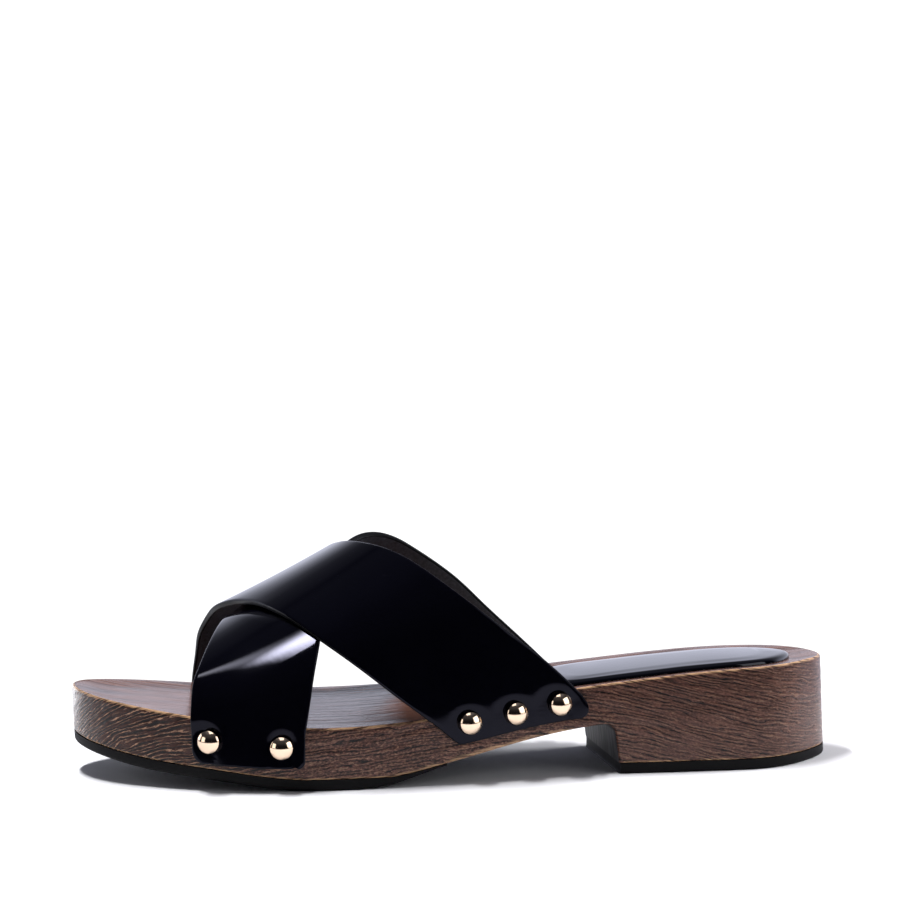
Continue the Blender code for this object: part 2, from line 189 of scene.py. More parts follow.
def footbed_height(x, y):
    """Height of the footbed, hollowed a little inside its rim."""
    from_sides = np.minimum(y - side_y(x, "outer"), side_y(x, "inner") - y)
    from_rim = np.minimum(from_sides, np.minimum(x, SOLE_LENGTH - x))
    return rim_height(x) - FOOTBED_HOLLOW * smooth_step(from_rim / FOOTBED_HOLLOW_REACH)


def underside_height(x):
    """Underside of the block: forefoot with its flat spot, arch, fillet, heel breast and heel."""
    standing = RUBBER_THICKNESS + SEAT_GAP
    arch = smooth_curve(x / SOLE_LENGTH, column(UNDERSIDE, "share"), column(UNDERSIDE, "height_mm"))
    into_fillet = np.clip(x - (BREAST_X - BREAST_FILLET), 0, BREAST_FILLET)
    arch = np.maximum(arch, standing) - (BREAST_FILLET - np.sqrt(BREAST_FILLET**2 - into_fillet**2))
    down_breast = np.clip((x - BREAST_X) / BREAST_RUN, 0, 1)
    return arch + (standing - arch) * down_breast


def lean(points):
    """Below the rim the block leans back, its heel narrows inside and its breast stands a little askew."""
    points = np.array(points, dtype=float)
    x, y, z = points[..., 0], points[..., 1], points[..., 2]
    rim = rim_height(np.clip(x, 0, SOLE_LENGTH))
    below = np.maximum(0, rim - z)
    heel = smooth_step((x - BREAST_X) / HEEL_TAPER_RUN + 1) * below / rim
    points[..., 1] = np.where(y > 0, y * (1 - HEEL_TAPER * heel), y)
    to_back = np.clip((SOLE_LENGTH - x) / (SOLE_LENGTH - BREAST_X), 0, 1)
    skew = BREAST_SKEW * heel * to_back * (y - side_y(np.clip(x, 0, SOLE_LENGTH), "outer"))
    points[..., 0] = x + BLOCK_LEAN * below - skew
    return points


arch_height = float(underside_height(BREAST_X - BREAST_FILLET))
print("arch above the floor before the breast, mm:", round(arch_height / MM, 1))

# %% [markdown]
# ## From points to a piece
# The curves start at the shoe's own toe tip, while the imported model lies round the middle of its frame,
# so each mesh is shifted once when it is made. Parenting would do it too, but a mesh that holds its true
# place is easier to measure. Values that a finish needs on each face corner, such as the direction of the
# grain, travel with the mesh as attributes, which follow the shape in a way that plain coordinates can't.

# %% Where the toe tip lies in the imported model
block_low, block_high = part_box("wood_sole")
SHIFT = np.array([block_low.x - BLOCK_LEAN * EDGE_ROUNDING, block_low.y - outer_edge.min(), 0.0])
print("toe tip in the frame, mm:", (SHIFT / MM).round(2))
print("packed block's length, mm:", round((block_high.x - block_low.x) / MM, 1))

# %% Pieces
MERGE_DISTANCE = 0.002 * MM
SHARP_ANGLE = math.radians(38)


def make_piece(name, points, faces, finishes, face_finish=None, marks=None):
    """Mesh object at its place in the shoe; marks are values for each face corner."""
    mesh = bpy.data.meshes.new(name)
    mesh.from_pydata((np.asarray(points) + SHIFT).tolist(), [], faces)
    for finish in finishes:
        mesh.materials.append(finish)
    if face_finish is not None:
        mesh.polygons.foreach_set("material_index", np.asarray(face_finish, dtype=np.int32))
    for mark, values in (marks or {}).items():
        kind, field = ("FLOAT_VECTOR", "vector") if values.ndim == 2 else ("FLOAT", "value")
        mesh.attributes.new(mark, kind, "CORNER").data.foreach_set(field, values.astype(np.float32).ravel())
    shape = bmesh.new()
    shape.from_mesh(mesh)
    bmesh.ops.remove_doubles(shape, verts=shape.verts, dist=MERGE_DISTANCE)
    bmesh.ops.recalc_face_normals(shape, faces=shape.faces)
    shape.to_mesh(mesh)
    shape.free()
    mesh.shade_smooth()
    mesh.set_sharp_from_angle(angle=SHARP_ANGLE)
    piece = bpy.data.objects.new(name, mesh)
    bpy.context.scene.collection.objects.link(piece)
    return piece


def fit_piece(piece, slot, *nodes):
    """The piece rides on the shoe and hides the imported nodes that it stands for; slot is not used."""
    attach(piece, "root")
    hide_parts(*nodes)
    print(piece.name, "stands for", ", ".join(nodes), "with", len(piece.data.polygons), "faces")


print("edges sharper than", round(math.degrees(SHARP_ANGLE)), "degrees stay hard")

# %% [markdown]
# ## The wood-look block
# The platform and its heel are one moulded block. A loft suits it better than a box with modifiers,
# because its edge must follow the outline exactly: loops run round the outline, from the rounded rim down
# the wall to the rounded lower edge, and rows across close the footbed and the underside. Each face
# corner carries a grain direction. On the wall the grain runs along the outline and climbs or falls with
# a slope that changes from toe to heel. The footbed's grain runs lengthwise, and the breast's runs up and
# down.

# %% Loops round the sole
STATIONS = 250
ARC_STEPS = 5


def sole_stations(start=0.0, end=1.0, extra=()):
    """Stations along the sole, closer together towards its round ends, with some that must be there."""
    regular = (1 - np.cos(np.linspace(0, math.pi, STATIONS + 1))) / 2
    inside = regular[(regular > start) & (regular < end)]
    return SOLE_LENGTH * np.unique(np.concatenate([inside, [start, end], extra]))


def both_sides(outer, inner):
    """Values on the outer side from the front to the rear, then on the inner side back to the front."""
    return np.concatenate([outer, inner[::-1]])


def sole_loop(x, inset, height):
    """One loop round the sole, drawn in from its wall."""
    angle = round_angle(x / SOLE_LENGTH)
    along = x + inset * np.cos(angle)
    outer = side_y(x, "outer") + inset * np.sin(angle)
    inner = side_y(x, "inner") - inset * np.sin(angle)
    return np.stack([both_sides(along, along), both_sides(outer, inner), both_sides(height, height)], axis=1)


def quarter_arc(radius):
    """Pairs of inset and drop round an edge, from the face above it to the wall beside it."""
    turns = np.linspace(math.pi / 2, 0, ARC_STEPS)
    return [(radius * (1 - math.cos(a)), radius * (1 - math.sin(a))) for a in turns]


def ring_faces(loops, count):
    """Faces between loops that lie one below the other."""
    i = np.arange(count)
    j = (i + 1) % count
    faces = [np.stack([k * count + i, k * count + j, (k + 1) * count + j, (k + 1) * count + i], axis=1)
             for k in range(loops - 1)]
    return np.concatenate(faces)


print("points in a loop:", 2 * len(sole_stations()))

# %% Rows that close a loop
CAP_COLUMNS = 26


def same_across(heights):
    """For rows across the sole that keep the height of the station they start from."""
    return lambda x, y: np.repeat(heights[:, None], x.shape[1], axis=1)


def cap(loop, start, first_new, height_at):
    """Rows across a loop that close it: new points, and faces that also use the loop's own points."""
    half = len(loop) // 2
    share = np.linspace(0, 1, CAP_COLUMNS + 1)[1:-1]
    outer, inner = loop[:half], loop[half:][::-1]
    new = outer[:, None] + (inner - outer)[:, None] * share[None, :, None]
    new[..., 2] = height_at(new[..., 0], new[..., 1])
    index = np.empty((half, CAP_COLUMNS + 1), dtype=int)
    index[:, 0] = start + np.arange(half)
    index[:, -1] = start + len(loop) - 1 - np.arange(half)
    index[:, 1:-1] = first_new + np.arange(half * (CAP_COLUMNS - 1)).reshape(half, -1)
    quads = [index[:-1, :-1], index[1:, :-1], index[1:, 1:], index[:-1, 1:]]
    return new.reshape(-1, 3), np.stack([q.ravel() for q in quads], axis=1)


def close_loops(loops, top_at, bottom_at):
    """Points of a closed form, and its faces between the loops, over the first and under the last."""
    count = len(loops[0])
    points = np.concatenate(loops)
    groups = [ring_faces(len(loops), count)]
    for number, height_at in ((0, top_at), (len(loops) - 1, bottom_at)):
        new, faces = cap(loops[number], number * count, len(points), height_at)
        points = np.concatenate([points, new])
        groups.append(faces)
    return points, groups


print("faces in a row across:", CAP_COLUMNS)

# %% Grain along the wall
# Slope of the grain, rise over run, by share of the way from toe to heel
WALL_GRAIN = {
    "share": (0.00, 0.07, 0.13, 0.19, 0.30, 0.42, 0.52, 0.62, 0.72, 0.84, 1.00),
    "slope": (0.50, 0.62, 0.36, 0.20, 0.12, 0.10, 0.03, -0.12, -0.26, -0.22, -0.05),
}
GRAIN_STEPS = 400


def wall_run(x):
    """Share of the way along the wall from the toe tip, and the wall's mean length in millimetres."""
    runs = []
    for side in ("outer", "inner"):
        steps = np.hypot(np.diff(x), np.diff(side_y(x, side)))
        runs.append(np.concatenate([[0], np.cumsum(steps)]))
    length = (runs[0][-1] + runs[1][-1]) / 2
    return both_sides(*(run / run[-1] for run in runs)), length / MM


def grain_rise(share, length):
    """How far the wall's grain has climbed at a share of the way along the wall, in millimetres."""
    steps = np.linspace(0, 1, GRAIN_STEPS + 1)
    slope = smooth_curve(steps, column(WALL_GRAIN, "share"), column(WALL_GRAIN, "slope"))
    return np.interp(share, steps, np.cumsum(slope) * length / len(steps))


print("wall from toe to heel, mm:", round(wall_run(sole_stations())[1]))

# %% Relief and wear of the wall
WALL_RELIEF = 0.10 * MM
RELIEF_LENGTH_MM, RELIEF_WIDTH_MM = 11.0, 2.4
# Under the arch the lower edge is rubbed more widely than elsewhere
ARCH_WEAR = (92 * MM, 168 * MM)
ARCH_WEAR_FADE = 20 * MM
ARCH_WEAR_SHARE = 0.5
# The edges of the breast are stained over
BREAST_STAIN_FROM = 158 * MM
BREAST_STAIN_FADE = 10 * MM
BREAST_STAIN = 3 * MM


def relief_shift(x, height):
    """Moves the points of a loop out of the wall by a height for each."""
    angle = round_angle(x / SOLE_LENGTH)
    angle = both_sides(angle, angle)
    outward = both_sides(-np.ones(len(x)), np.ones(len(x)))
    return np.stack([-np.cos(angle) * height, outward * np.sin(angle) * height, 0 * height], axis=1)


def lower_edge_wear(x):
    """How much the distance from the lower edge counts, and what the breast's stained band adds to it."""
    rising = smooth_step((x - ARCH_WEAR[0]) / ARCH_WEAR_FADE)
    falling = smooth_step((ARCH_WEAR[1] - x) / ARCH_WEAR_FADE)
    counts = 1 - ARCH_WEAR_SHARE * (rising * falling)
    stained = BREAST_STAIN * smooth_step((x - BREAST_STAIN_FROM) / BREAST_STAIN_FADE)
    stained = np.where(x > BREAST_X + BREAST_RUN + MERGE_DISTANCE, 0, stained)
    return both_sides(counts, counts), both_sides(stained, stained)


print("relief of the moulded grain, mm:", WALL_RELIEF / MM)

# %% Block shape
WALL_ROWS = 34
FILLET_STEPS = 8
FAR_FROM_EDGE_MM = 9.0


def wall_rows(rim, under):
    """Pairs of inset and height: round the rim, down the wall and round the lower edge."""
    top, bottom = rim - EDGE_ROUNDING, under + EDGE_ROUNDING
    rows = [(inset, rim - drop) for inset, drop in quarter_arc(EDGE_ROUNDING)]
    rows += [(0.0, top + (bottom - top) * share) for share in np.linspace(0, 1, WALL_ROWS + 1)[1:]]
    rows += [(inset, under + drop) for inset, drop in quarter_arc(EDGE_ROUNDING)[::-1][1:]]
    return rows


def block_mesh():
    """Points, faces, the finish of each face, and marks for the grain and the worn edges."""
    bend = np.linspace(0, math.pi / 2, FILLET_STEPS + 1)
    breast = np.append(BREAST_X - BREAST_FILLET * (1 - np.sin(bend)), BREAST_X + BREAST_RUN)
    x = sole_stations(extra=breast / SOLE_LENGTH)
    rim, under = rim_height(x), underside_height(x)
    share, length = wall_run(x)
    rise = grain_rise(share, length)
    counts, stained = lower_edge_wear(x)
    loops, grain, worn = [], [], []
    for inset, height in wall_rows(rim, under):
        loop = sole_loop(x, inset, height)
        across = loop[:, 2] / MM - rise
        bumps = np.array([
            noise.noise((s * length / RELIEF_LENGTH_MM, t / RELIEF_WIDTH_MM, y / MM / RELIEF_LENGTH_MM))
            for s, t, y in zip(share, across, loop[:, 1])
        ])
        loop = loop + relief_shift(x, bumps * WALL_RELIEF) * (inset == 0.0)
        loops.append(loop)
        grain.append(np.stack([share * length, across, loop[:, 1] / MM], axis=1))
        below_rim = both_sides(rim, rim) - loop[:, 2]
        above_floor = (loop[:, 2] - both_sides(under, under)) * counts + stained
        worn.append(np.minimum(below_rim, above_floor) / MM)
    points, (wall, bed, base) = close_loops(loops, footbed_height, same_across(under))
    faces = np.concatenate([wall, bed, base])
    new_points = len(points) - len(loops) * len(loops[0])
    wall_grain = np.concatenate([*grain, np.zeros((new_points, 3))])
    flat_grain = np.stack([points[:, 0] + points[:, 2], points[:, 1], points[:, 2]], axis=1) / MM
    worn = np.concatenate([*worn, np.full(new_points, FAR_FROM_EDGE_MM)])
    on_wall = np.arange(len(faces)) < len(wall)
    marks = {
        "grain": np.where(on_wall[:, None, None], wall_grain[faces], flat_grain[faces]).reshape(-1, 3),
        "worn_mm": worn[faces].ravel(),
    }
    finish_of = np.repeat(range(3), (len(wall), len(bed), len(base)))
    return lean(points), faces.tolist(), finish_of, marks


block = block_mesh()
print("block points:", len(block[0]))

# %% [markdown]
# ## Stained wood grain
# The block is moulded with a deep grain, stained brown, rubbed down and lacquered, so the eye sees thin
# dark furrows that run with the grain, lighter ridges and strands between them, and edges worn to a
# golden brown. The colour of the furrows also holds painted shade, and that of the ridges a painted
# highlight. Noise alone gives clouds rather than lines, so the furrows start as waves at an even pitch
# across the grain. Stretched noises bend them, shake them and break them into dashes. All of it uses the
# grain marks, so it follows the wall round the toe. Towards the toe the brown is drawn darker and the
# ridges carry more of the painted highlight, and the back of the heel is rubbed smooth.

# %% Sizes and patterns of the grain
PATCH_MM = 16.0
LINE_PITCH_MM = 1.25
BEND_LINES, SHAKE_LINES = 3.4, 1.0
WOOD_NOISES = {
    "kind": ("bend", "shake", "break", "strand", "speck", "patch"),
    "length_mm": (18.0, 3.2, 7.0, 7.0, 0.9, PATCH_MM),
    "width_mm": (5.0, 0.9, 1.2, 0.42, 0.5, PATCH_MM),
    "detail": (1.0, 2.0, 2.0, 4.0, 1.0, 2.0),
}
# Shares that change along the wall between two distances from the toe tip: swell, darkening and ridges
# (relief with a painted highlight) behind the toe, specks before the heel, and furrows round the back of
# the heel
ALONG_WALL = {
    "share": ("swell", "toe_darkening", "ridges", "specks", "furrows"),
    "from_mm": (55.0, 55.0, 55.0, 170.0, 238.0),
    "to_mm": (100.0, 100.0, 100.0, 200.0, 268.0),
    "before": (0.50, 0.78, 0.95, 1.00, 1.00),
    "after": (0.00, 0.00, 0.24, 0.45, 0.40),
}
# Where a wave or a noise starts to show as a furrow, a ridge or a dash, and where it shows fully
FURROW_SHOWS, RIDGE_SHOWS, DASH_SHOWS = (0.56, 0.92), (-0.74, -1.0), (0.37, 0.56)
STRAND_SHOWS, DARK_SPECK_SHOWS, LIGHT_SPECK_SHOWS = (0.38, 0.64), (0.49, 0.27), (0.54, 0.80)
WORN_SHOWS, WORN_MOST = (0.10, 0.45), 0.8
WORN_EDGE_MM = 0.9
LINE_DEPTH = 0.45 * MM
STRAND_DEPTH = 0.10 * MM


def grain_patterns(tree, sizes):
    """Noises by kind, stretched along the grain marks to their lengths and widths."""
    grain = add_node(tree, "ShaderNodeAttribute", attribute_name="grain").outputs["Vector"]
    patterns = {}
    for kind, length, width, detail in zip(*sizes.values()):
        at = add_node(tree, "ShaderNodeVectorMath", {
            0: grain, 1: (1 / length, 1 / width, 1 / length)}, operation="MULTIPLY")
        patterns[kind] = add_node(tree, "ShaderNodeTexNoise", {
            "Vector": at.outputs[0], "Scale": 1.0, "Detail": detail, "Roughness": 0.6}).outputs["Fac"]
    return patterns


print("furrows in 10 mm:", 10 / LINE_PITCH_MM)

# %% Stained wood


def stained_wood():
    """Stained grain under lacquer: dark furrows and pale ridges in a matt brown, with a thin even sheen.
    The furrows also hold painted shade and the ridges a painted highlight.
    """
    finish, tree, shader = new_finish("stained_wood_grain")
    noises = grain_patterns(tree, WOOD_NOISES)
    grain = add_node(tree, "ShaderNodeAttribute", attribute_name="grain").outputs["Vector"]
    worn = add_node(tree, "ShaderNodeAttribute", attribute_name="worn_mm").outputs["Fac"]
    axes = add_node(tree, "ShaderNodeSeparateXYZ", {0: grain})
    along = {}
    for share, start, end, before, after in zip(*ALONG_WALL.values()):
        along[share] = add_node(tree, "ShaderNodeMapRange", {
            "Value": axes.outputs["X"], "From Min": start, "From Max": end,
            "To Min": before, "To Max": after}).outputs[0]

    # Waves at an even pitch, bent and shaken
    lines = add_node(tree, "ShaderNodeMath", {0: axes.outputs["Y"], 1: LINE_PITCH_MM}, operation="DIVIDE")
    for kind, most in (("bend", BEND_LINES), ("shake", SHAKE_LINES)):
        lines = add_node(tree, "ShaderNodeMath", {
            0: noises[kind], 1: most, 2: lines.outputs[0]}, operation="MULTIPLY_ADD")
    turn = add_node(tree, "ShaderNodeMath", {0: lines.outputs[0], 1: 2 * math.pi}, operation="MULTIPLY")
    wave = add_node(tree, "ShaderNodeMath", {0: turn.outputs[0]}, operation="SINE")
    wider = add_node(tree, "ShaderNodeMath", {0: wave.outputs[0], 1: along["swell"]}, operation="ADD")

    # Their crests are furrows and their troughs ridges, both cut into dashes
    shown = {}
    for kind, value, (start, end) in (
            ("furrows", wider.outputs[0], FURROW_SHOWS),
            ("ridges", wave.outputs[0], RIDGE_SHOWS),
            ("dashes", noises["break"], DASH_SHOWS)):
        shown[kind] = add_node(tree, "ShaderNodeMapRange", {
            "Value": value, "From Min": start, "From Max": end}, interpolation_type="SMOOTHSTEP").outputs[0]
    for kind in ("furrows", "ridges"):
        for share in (shown["dashes"], along[kind]):
            shown[kind] = add_node(tree, "ShaderNodeMath", {
                0: shown[kind], 1: share}, operation="MULTIPLY").outputs[0]

    # Strands of lighter brown, and specks that grow fewer towards the heel
    for kind, value, (start, end), most in (
            ("strands", noises["strand"], STRAND_SHOWS, 1.0),
            ("dark specks", noises["speck"], DARK_SPECK_SHOWS, along["specks"]),
            ("light specks", noises["speck"], LIGHT_SPECK_SHOWS, along["specks"])):
        shown[kind] = add_node(tree, "ShaderNodeMapRange", {
            "Value": value, "From Min": start, "From Max": end, "To Max": most}).outputs[0]

    # Edges are worn where they stand out, and more on the strands
    near_edge = add_node(tree, "ShaderNodeMapRange", {
        "Value": worn, "From Min": 0.0, "From Max": WORN_EDGE_MM, "To Min": 1.0, "To Max": 0.0})
    broken = add_node(tree, "ShaderNodeMath", {
        0: near_edge.outputs[0], 1: shown["strands"]}, operation="MULTIPLY")
    rubbed = add_node(tree, "ShaderNodeMapRange", {
        "Value": broken.outputs[0], "From Min": WORN_SHOWS[0], "From Max": WORN_SHOWS[1],
        "To Min": 0.0, "To Max": WORN_MOST})

    # Colours from the ground up, each laid over those before it. The pale ridges are partly a painted
    # highlight and the dark furrows partly painted shade; towards the toe the brown is drawn darker.
    colour = srgb("#2e1b17")
    for share, code in (
            (shown["strands"], "#7b5446"), (noises["patch"], "#4d312b"), (shown["dark specks"], "#1a0e0c"),
            (shown["light specks"], "#9a705c"), (along["toe_darkening"], "#341710"), (shown["ridges"], "#c4977a"),
            (shown["furrows"], "#0c0606"), (rubbed.outputs[0], "#caa27c")):
        colour = add_node(tree, "ShaderNodeMix", {
            0: share, 6: colour, 7: srgb(code)}, data_type="RGBA").outputs[2]

    relief = add_node(tree, "ShaderNodeMath", {
        0: shown["ridges"], 1: shown["furrows"]}, operation="SUBTRACT")
    furrows = add_node(tree, "ShaderNodeBump", {"Height": relief.outputs[0], "Distance": LINE_DEPTH})
    strands = add_node(tree, "ShaderNodeBump", {
        "Height": noises["strand"], "Distance": STRAND_DEPTH, "Normal": furrows.outputs[0]})
    tree.links.new(colour, shader.inputs["Base Color"])
    tree.links.new(strands.outputs[0], shader.inputs["Normal"])
    shader.inputs["Roughness"].default_value = 0.4
    shader.inputs["Specular IOR Level"].default_value = 0.15
    shader.inputs["Coat Weight"].default_value = 0.28
    shader.inputs["Coat Roughness"].default_value = 0.20
    return finish


wood_finishes = [stained_wood()]
print("finish of the wall:", wood_finishes[0].name)

# %% [markdown]
# ## Rubbed footbed and sprayed underside
# The footbed has the same grain, but it is rubbed nearly flat, so the eye sees long faint strokes in a
# soft sheen. At a low angle a fine fibre blurs away, so the strokes that bend the sheen are drawn three
# millimetres wide. The underside and the breast of the heel are sprayed black, and streaks of the mould's
# grain show through.

# %% Footbed finish
FOOTBED_NOISES = {
    "kind": ("stroke", "fibre"),
    "length_mm": (26.0, 15.0),
    "width_mm": (3.0, 0.8),
    "detail": (3.0, 3.0),
}
STROKE_DEPTH = 0.40 * MM
FIBRE_DEPTH = 0.05 * MM


def rubbed_footbed():
    """Rubbed wood: strokes and fibres along the foot, polished to a satin sheen that dims unevenly."""
    finish, tree, shader = new_finish("rubbed_wood_footbed")
    noises = grain_patterns(tree, FOOTBED_NOISES)
    fibre_tone = add_node(tree, "ShaderNodeMapRange", {
        "Value": noises["fibre"], "From Min": 0.34, "From Max": 0.66})
    stroke_tone = add_node(tree, "ShaderNodeMapRange", {
        "Value": noises["stroke"], "From Min": 0.52, "From Max": 0.36, "To Max": 0.7})
    polish = add_node(tree, "ShaderNodeMapRange", {"Value": noises["fibre"], "To Min": 0.17, "To Max": 0.31})
    brown = add_node(tree, "ShaderNodeMix", {
        0: fibre_tone.outputs[0], 6: srgb("#452c26"), 7: srgb("#7a5547")}, data_type="RGBA")
    colour = add_node(tree, "ShaderNodeMix", {
        0: stroke_tone.outputs[0], 6: brown.outputs[2], 7: srgb("#1e100d")}, data_type="RGBA")
    strokes = add_node(tree, "ShaderNodeBump", {"Height": noises["stroke"], "Distance": STROKE_DEPTH})
    fibres = add_node(tree, "ShaderNodeBump", {
        "Height": noises["fibre"], "Distance": FIBRE_DEPTH, "Normal": strokes.outputs[0]})
    tree.links.new(colour.outputs[2], shader.inputs["Base Color"])
    tree.links.new(polish.outputs[0], shader.inputs["Roughness"])
    tree.links.new(fibres.outputs[0], shader.inputs["Normal"])
    return finish


wood_finishes.append(rubbed_footbed())
print("finish of the footbed:", wood_finishes[1].name)

# %% Underside finish and the block
STREAK_NOISES = {"kind": ("streak",), "length_mm": (14.0,), "width_mm": (1.1,), "detail": (4.0,)}


def black_stain():
    """Sprayed and stained black: a dull black with greyer streaks along the grain."""
    finish, tree, shader = new_finish("black_stained_underside")
    noises = grain_patterns(tree, STREAK_NOISES)
    tone = add_node(tree, "ShaderNodeMapRange", {
        "Value": noises["streak"], "From Min": 0.40, "From Max": 0.66})
    colour = add_node(tree, "ShaderNodeMix", {
        0: tone.outputs[0], 6: srgb("#050507"), 7: srgb("#46454c")}, data_type="RGBA")
    bump = add_node(tree, "ShaderNodeBump", {
        "Height": noises["streak"], "Strength": 0.8, "Distance": STRAND_DEPTH})
    tree.links.new(colour.outputs[2], shader.inputs["Base Color"])
    tree.links.new(bump.outputs[0], shader.inputs["Normal"])
    shader.inputs["Roughness"].default_value = 0.6
    shader.inputs["Specular IOR Level"].default_value = 0.15
    return finish


wood_finishes.append(black_stain())
points, faces, finish_of, marks = block
wood_block = make_piece("wood_block", points, faces, wood_finishes, finish_of, marks)
fit_piece(wood_block, "wood", "wood_sole")

# %% [markdown]
# ## Rubber treads
# A sheet of black rubber lies under the forefoot and thins out in the arch, and a lift of the same
# thickness lies under the heel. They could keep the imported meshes, but at this distance their edges show,
# so each is lofted again with round lower edges. Moulded rubber is a matt dielectric with a fine pebble
# from its mould.

# %% Rubber
# The mould's pebble is finer than this, and is drawn as coarse as it needs to show
PEBBLE_MM = 0.7
PEBBLE_DEPTH = 0.05 * MM


def black_rubber():
    """Moulded rubber: a dull black that hardly reflects, with a fine pebble and a cloudy bloom."""
    finish, tree, shader = new_finish("moulded_black_rubber")
    at = add_node(tree, "ShaderNodeTexCoord").outputs["Object"]
    pebble = add_node(tree, "ShaderNodeTexNoise", {
        "Vector": at, "Scale": 1 / (PEBBLE_MM * MM), "Detail": 2.0, "Roughness": 0.5})
    cloud = add_node(tree, "ShaderNodeTexNoise", {
        "Vector": at, "Scale": 1 / (PATCH_MM * MM), "Detail": 3.0})
    colour = add_node(tree, "ShaderNodeMix", {
        0: cloud.outputs["Fac"], 6: srgb("#060607"), 7: srgb("#0d0c0e")}, data_type="RGBA")
    dull = add_node(tree, "ShaderNodeMapRange", {
        "Value": cloud.outputs["Fac"], "To Min": 0.5, "To Max": 0.7})
    bump = add_node(tree, "ShaderNodeBump", {
        "Height": pebble.outputs["Fac"], "Strength": 0.6, "Distance": PEBBLE_DEPTH})
    tree.links.new(colour.outputs[2], shader.inputs["Base Color"])
    tree.links.new(dull.outputs[0], shader.inputs["Roughness"])
    tree.links.new(bump.outputs[0], shader.inputs["Normal"])
    shader.inputs["Specular IOR Level"].default_value = 0.12
    return finish


rubber = black_rubber()
print("finish of the treads:", rubber.name)

# %% Treads
FOREFOOT_FLAT = (0.29, 0.345)
GLUE_LINE = 0.05 * MM
OUTSOLE_END = 0.47
OUTSOLE_THIN_EDGE = 0.3 * MM
RUBBER_ROUNDING = 1.2 * MM


def tread_mesh(x, top, bottom, rounding):
    """Sheet between two heights, with a round lower edge."""
    rows = [(0.0, top), (0.0, bottom + rounding)]
    rows += [(rounding * inset, bottom + rounding * drop) for inset, drop in quarter_arc(1.0)[::-1][1:]]
    loops = [sole_loop(x, inset, height) for inset, height in rows]
    points, groups = close_loops(loops, same_across(top), same_across(bottom))
    return lean(points), np.concatenate(groups).tolist()


x = sole_stations(end=OUTSOLE_END, extra=FOREFOOT_FLAT)
top = underside_height(x) - GLUE_LINE
thinning = smooth_step((x / SOLE_LENGTH - FOREFOOT_FLAT[1]) / (OUTSOLE_END - FOREFOOT_FLAT[1]))
thickness = RUBBER_THICKNESS + (OUTSOLE_THIN_EDGE - RUBBER_THICKNESS) * thinning + SEAT_GAP - GLUE_LINE
rounding = np.minimum(RUBBER_ROUNDING, thickness / 2)
forefoot_tread = make_piece("forefoot_tread", *tread_mesh(x, top, top - thickness, rounding), [rubber])
fit_piece(forefoot_tread, "rubber", "forefoot_outsole")

x = sole_stations(start=(BREAST_X + BREAST_RUN) / SOLE_LENGTH)
flat = np.zeros_like(x)
lift_top = flat + RUBBER_THICKNESS + SEAT_GAP - GLUE_LINE
lift_mesh = tread_mesh(x, lift_top, flat, flat + RUBBER_ROUNDING)
heel_lift = make_piece("heel_lift", *lift_mesh, [rubber])
fit_piece(heel_lift, "rubber", "heel_top_lift")

# %% [markdown]
# ## The crossed straps
# Each strap is pulled over the maker's last, so its face is a strip of the last's surface. Cloth
# simulation could drape it, but patent leather is stiff and keeps the last's form, so the form is worked
# out. The last is a set of arches over the sole: a share of the girth from the outer rim to the inner rim
# names a point on each. A strap edge is then a curve of places behind the toe tip by girth, and its ends
# run down the side walls to round corners. The strip gets a real thickness with rounded cut edges. The
# nails draw the leather in round each stud and below it, the front ends stand off the wall at their lower
# edge and the rear ends at the rim, and the under strap is pressed in where the other crosses it. These
# small bends steer the reflections of the gloss.

# %% Studs' places
STRAP_THICKNESS = 2 * MM
STUDS = {
    "x_mm": (44.9, 66.2, 124.6, 139.5, 154.3),
    "height_mm": (16.1, 14.3, 19.7, 21.8, 23.8),
    "dip_reach_mm": (8.3, 7.0, 6.6, 6.8, 7.6),
    "dip_shift_mm": (-2.5, 0.0, 0.0, -0.3, -1.5),
    "dip_narrowness": (1.0, 1.0, 0.8, 0.7, 0.8),
}
TANGENT_REACH = 1 * MM
UP = Vector((0, 0, 1))


def stud_seats():
    """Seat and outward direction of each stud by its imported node's name, and the dips in the leather."""
    seats, dips = {}, []
    for side in ("outer", "inner"):
        for number in range(len(STUDS["x_mm"])):
            stud = table_row(STUDS, number)
            x = stud["x"]
            bend = float(side_y(x + TANGENT_REACH, side) - side_y(x - TANGENT_REACH, side))
            along = Vector((2 * TANGENT_REACH, bend, 0)).normalized()
            out = along.cross(UP) if side == "outer" else UP.cross(along)
            off_wall = SEAT_GAP + STRAP_THICKNESS + SEAT_GAP
            seat = Vector((x, float(side_y(x, side)), stud["height"])) + out * off_wall
            seats[f"stud_{side}_{number + 1}"] = (lean(seat), np.array(out))
            dip = seat + along * float(stud["dip_shift"])
            dips.append((lean(dip), np.array(out), stud["dip_reach"], stud["dip_narrowness"]))
    return seats, dips


seats, stud_dips = stud_seats()
print("studs:", len(seats))

# %% The maker's last
LAST_RIM_DROP = 2 * MM
LAST_AXIS_Y = 4 * MM
BALL_X = 57 * MM
CREST_AT_BALL = 51.5 * MM
CREST_RISE = 0.56
SIDE_FULLNESS = 0.8
CREST_FULLNESS = 0.9
SECTION_STEPS = 240


def last_point(x, girth):
    """Point on the last: its section at x runs over the crest from the outer rim to the inner rim."""
    turn = np.linspace(0, math.pi, SECTION_STEPS + 1)
    outward, up = np.cos(turn), np.sin(turn)
    edge = np.where(outward > 0, side_y(x, "outer"), side_y(x, "inner"))
    y = LAST_AXIS_Y + (edge - LAST_AXIS_Y) * np.abs(outward) ** SIDE_FULLNESS
    foot = rim_height(x) - LAST_RIM_DROP
    crest = CREST_AT_BALL + CREST_RISE * (x - BALL_X)
    z = foot + (crest - foot) * up**CREST_FULLNESS
    run = np.concatenate([[0], np.cumsum(np.hypot(np.diff(y), np.diff(z)))])
    return x, np.interp(girth * run[-1], run, y), np.interp(girth * run[-1], run, z)


print("half way over the last at the ball, mm:", (np.array(last_point(BALL_X, 0.5)) / MM).round(1))

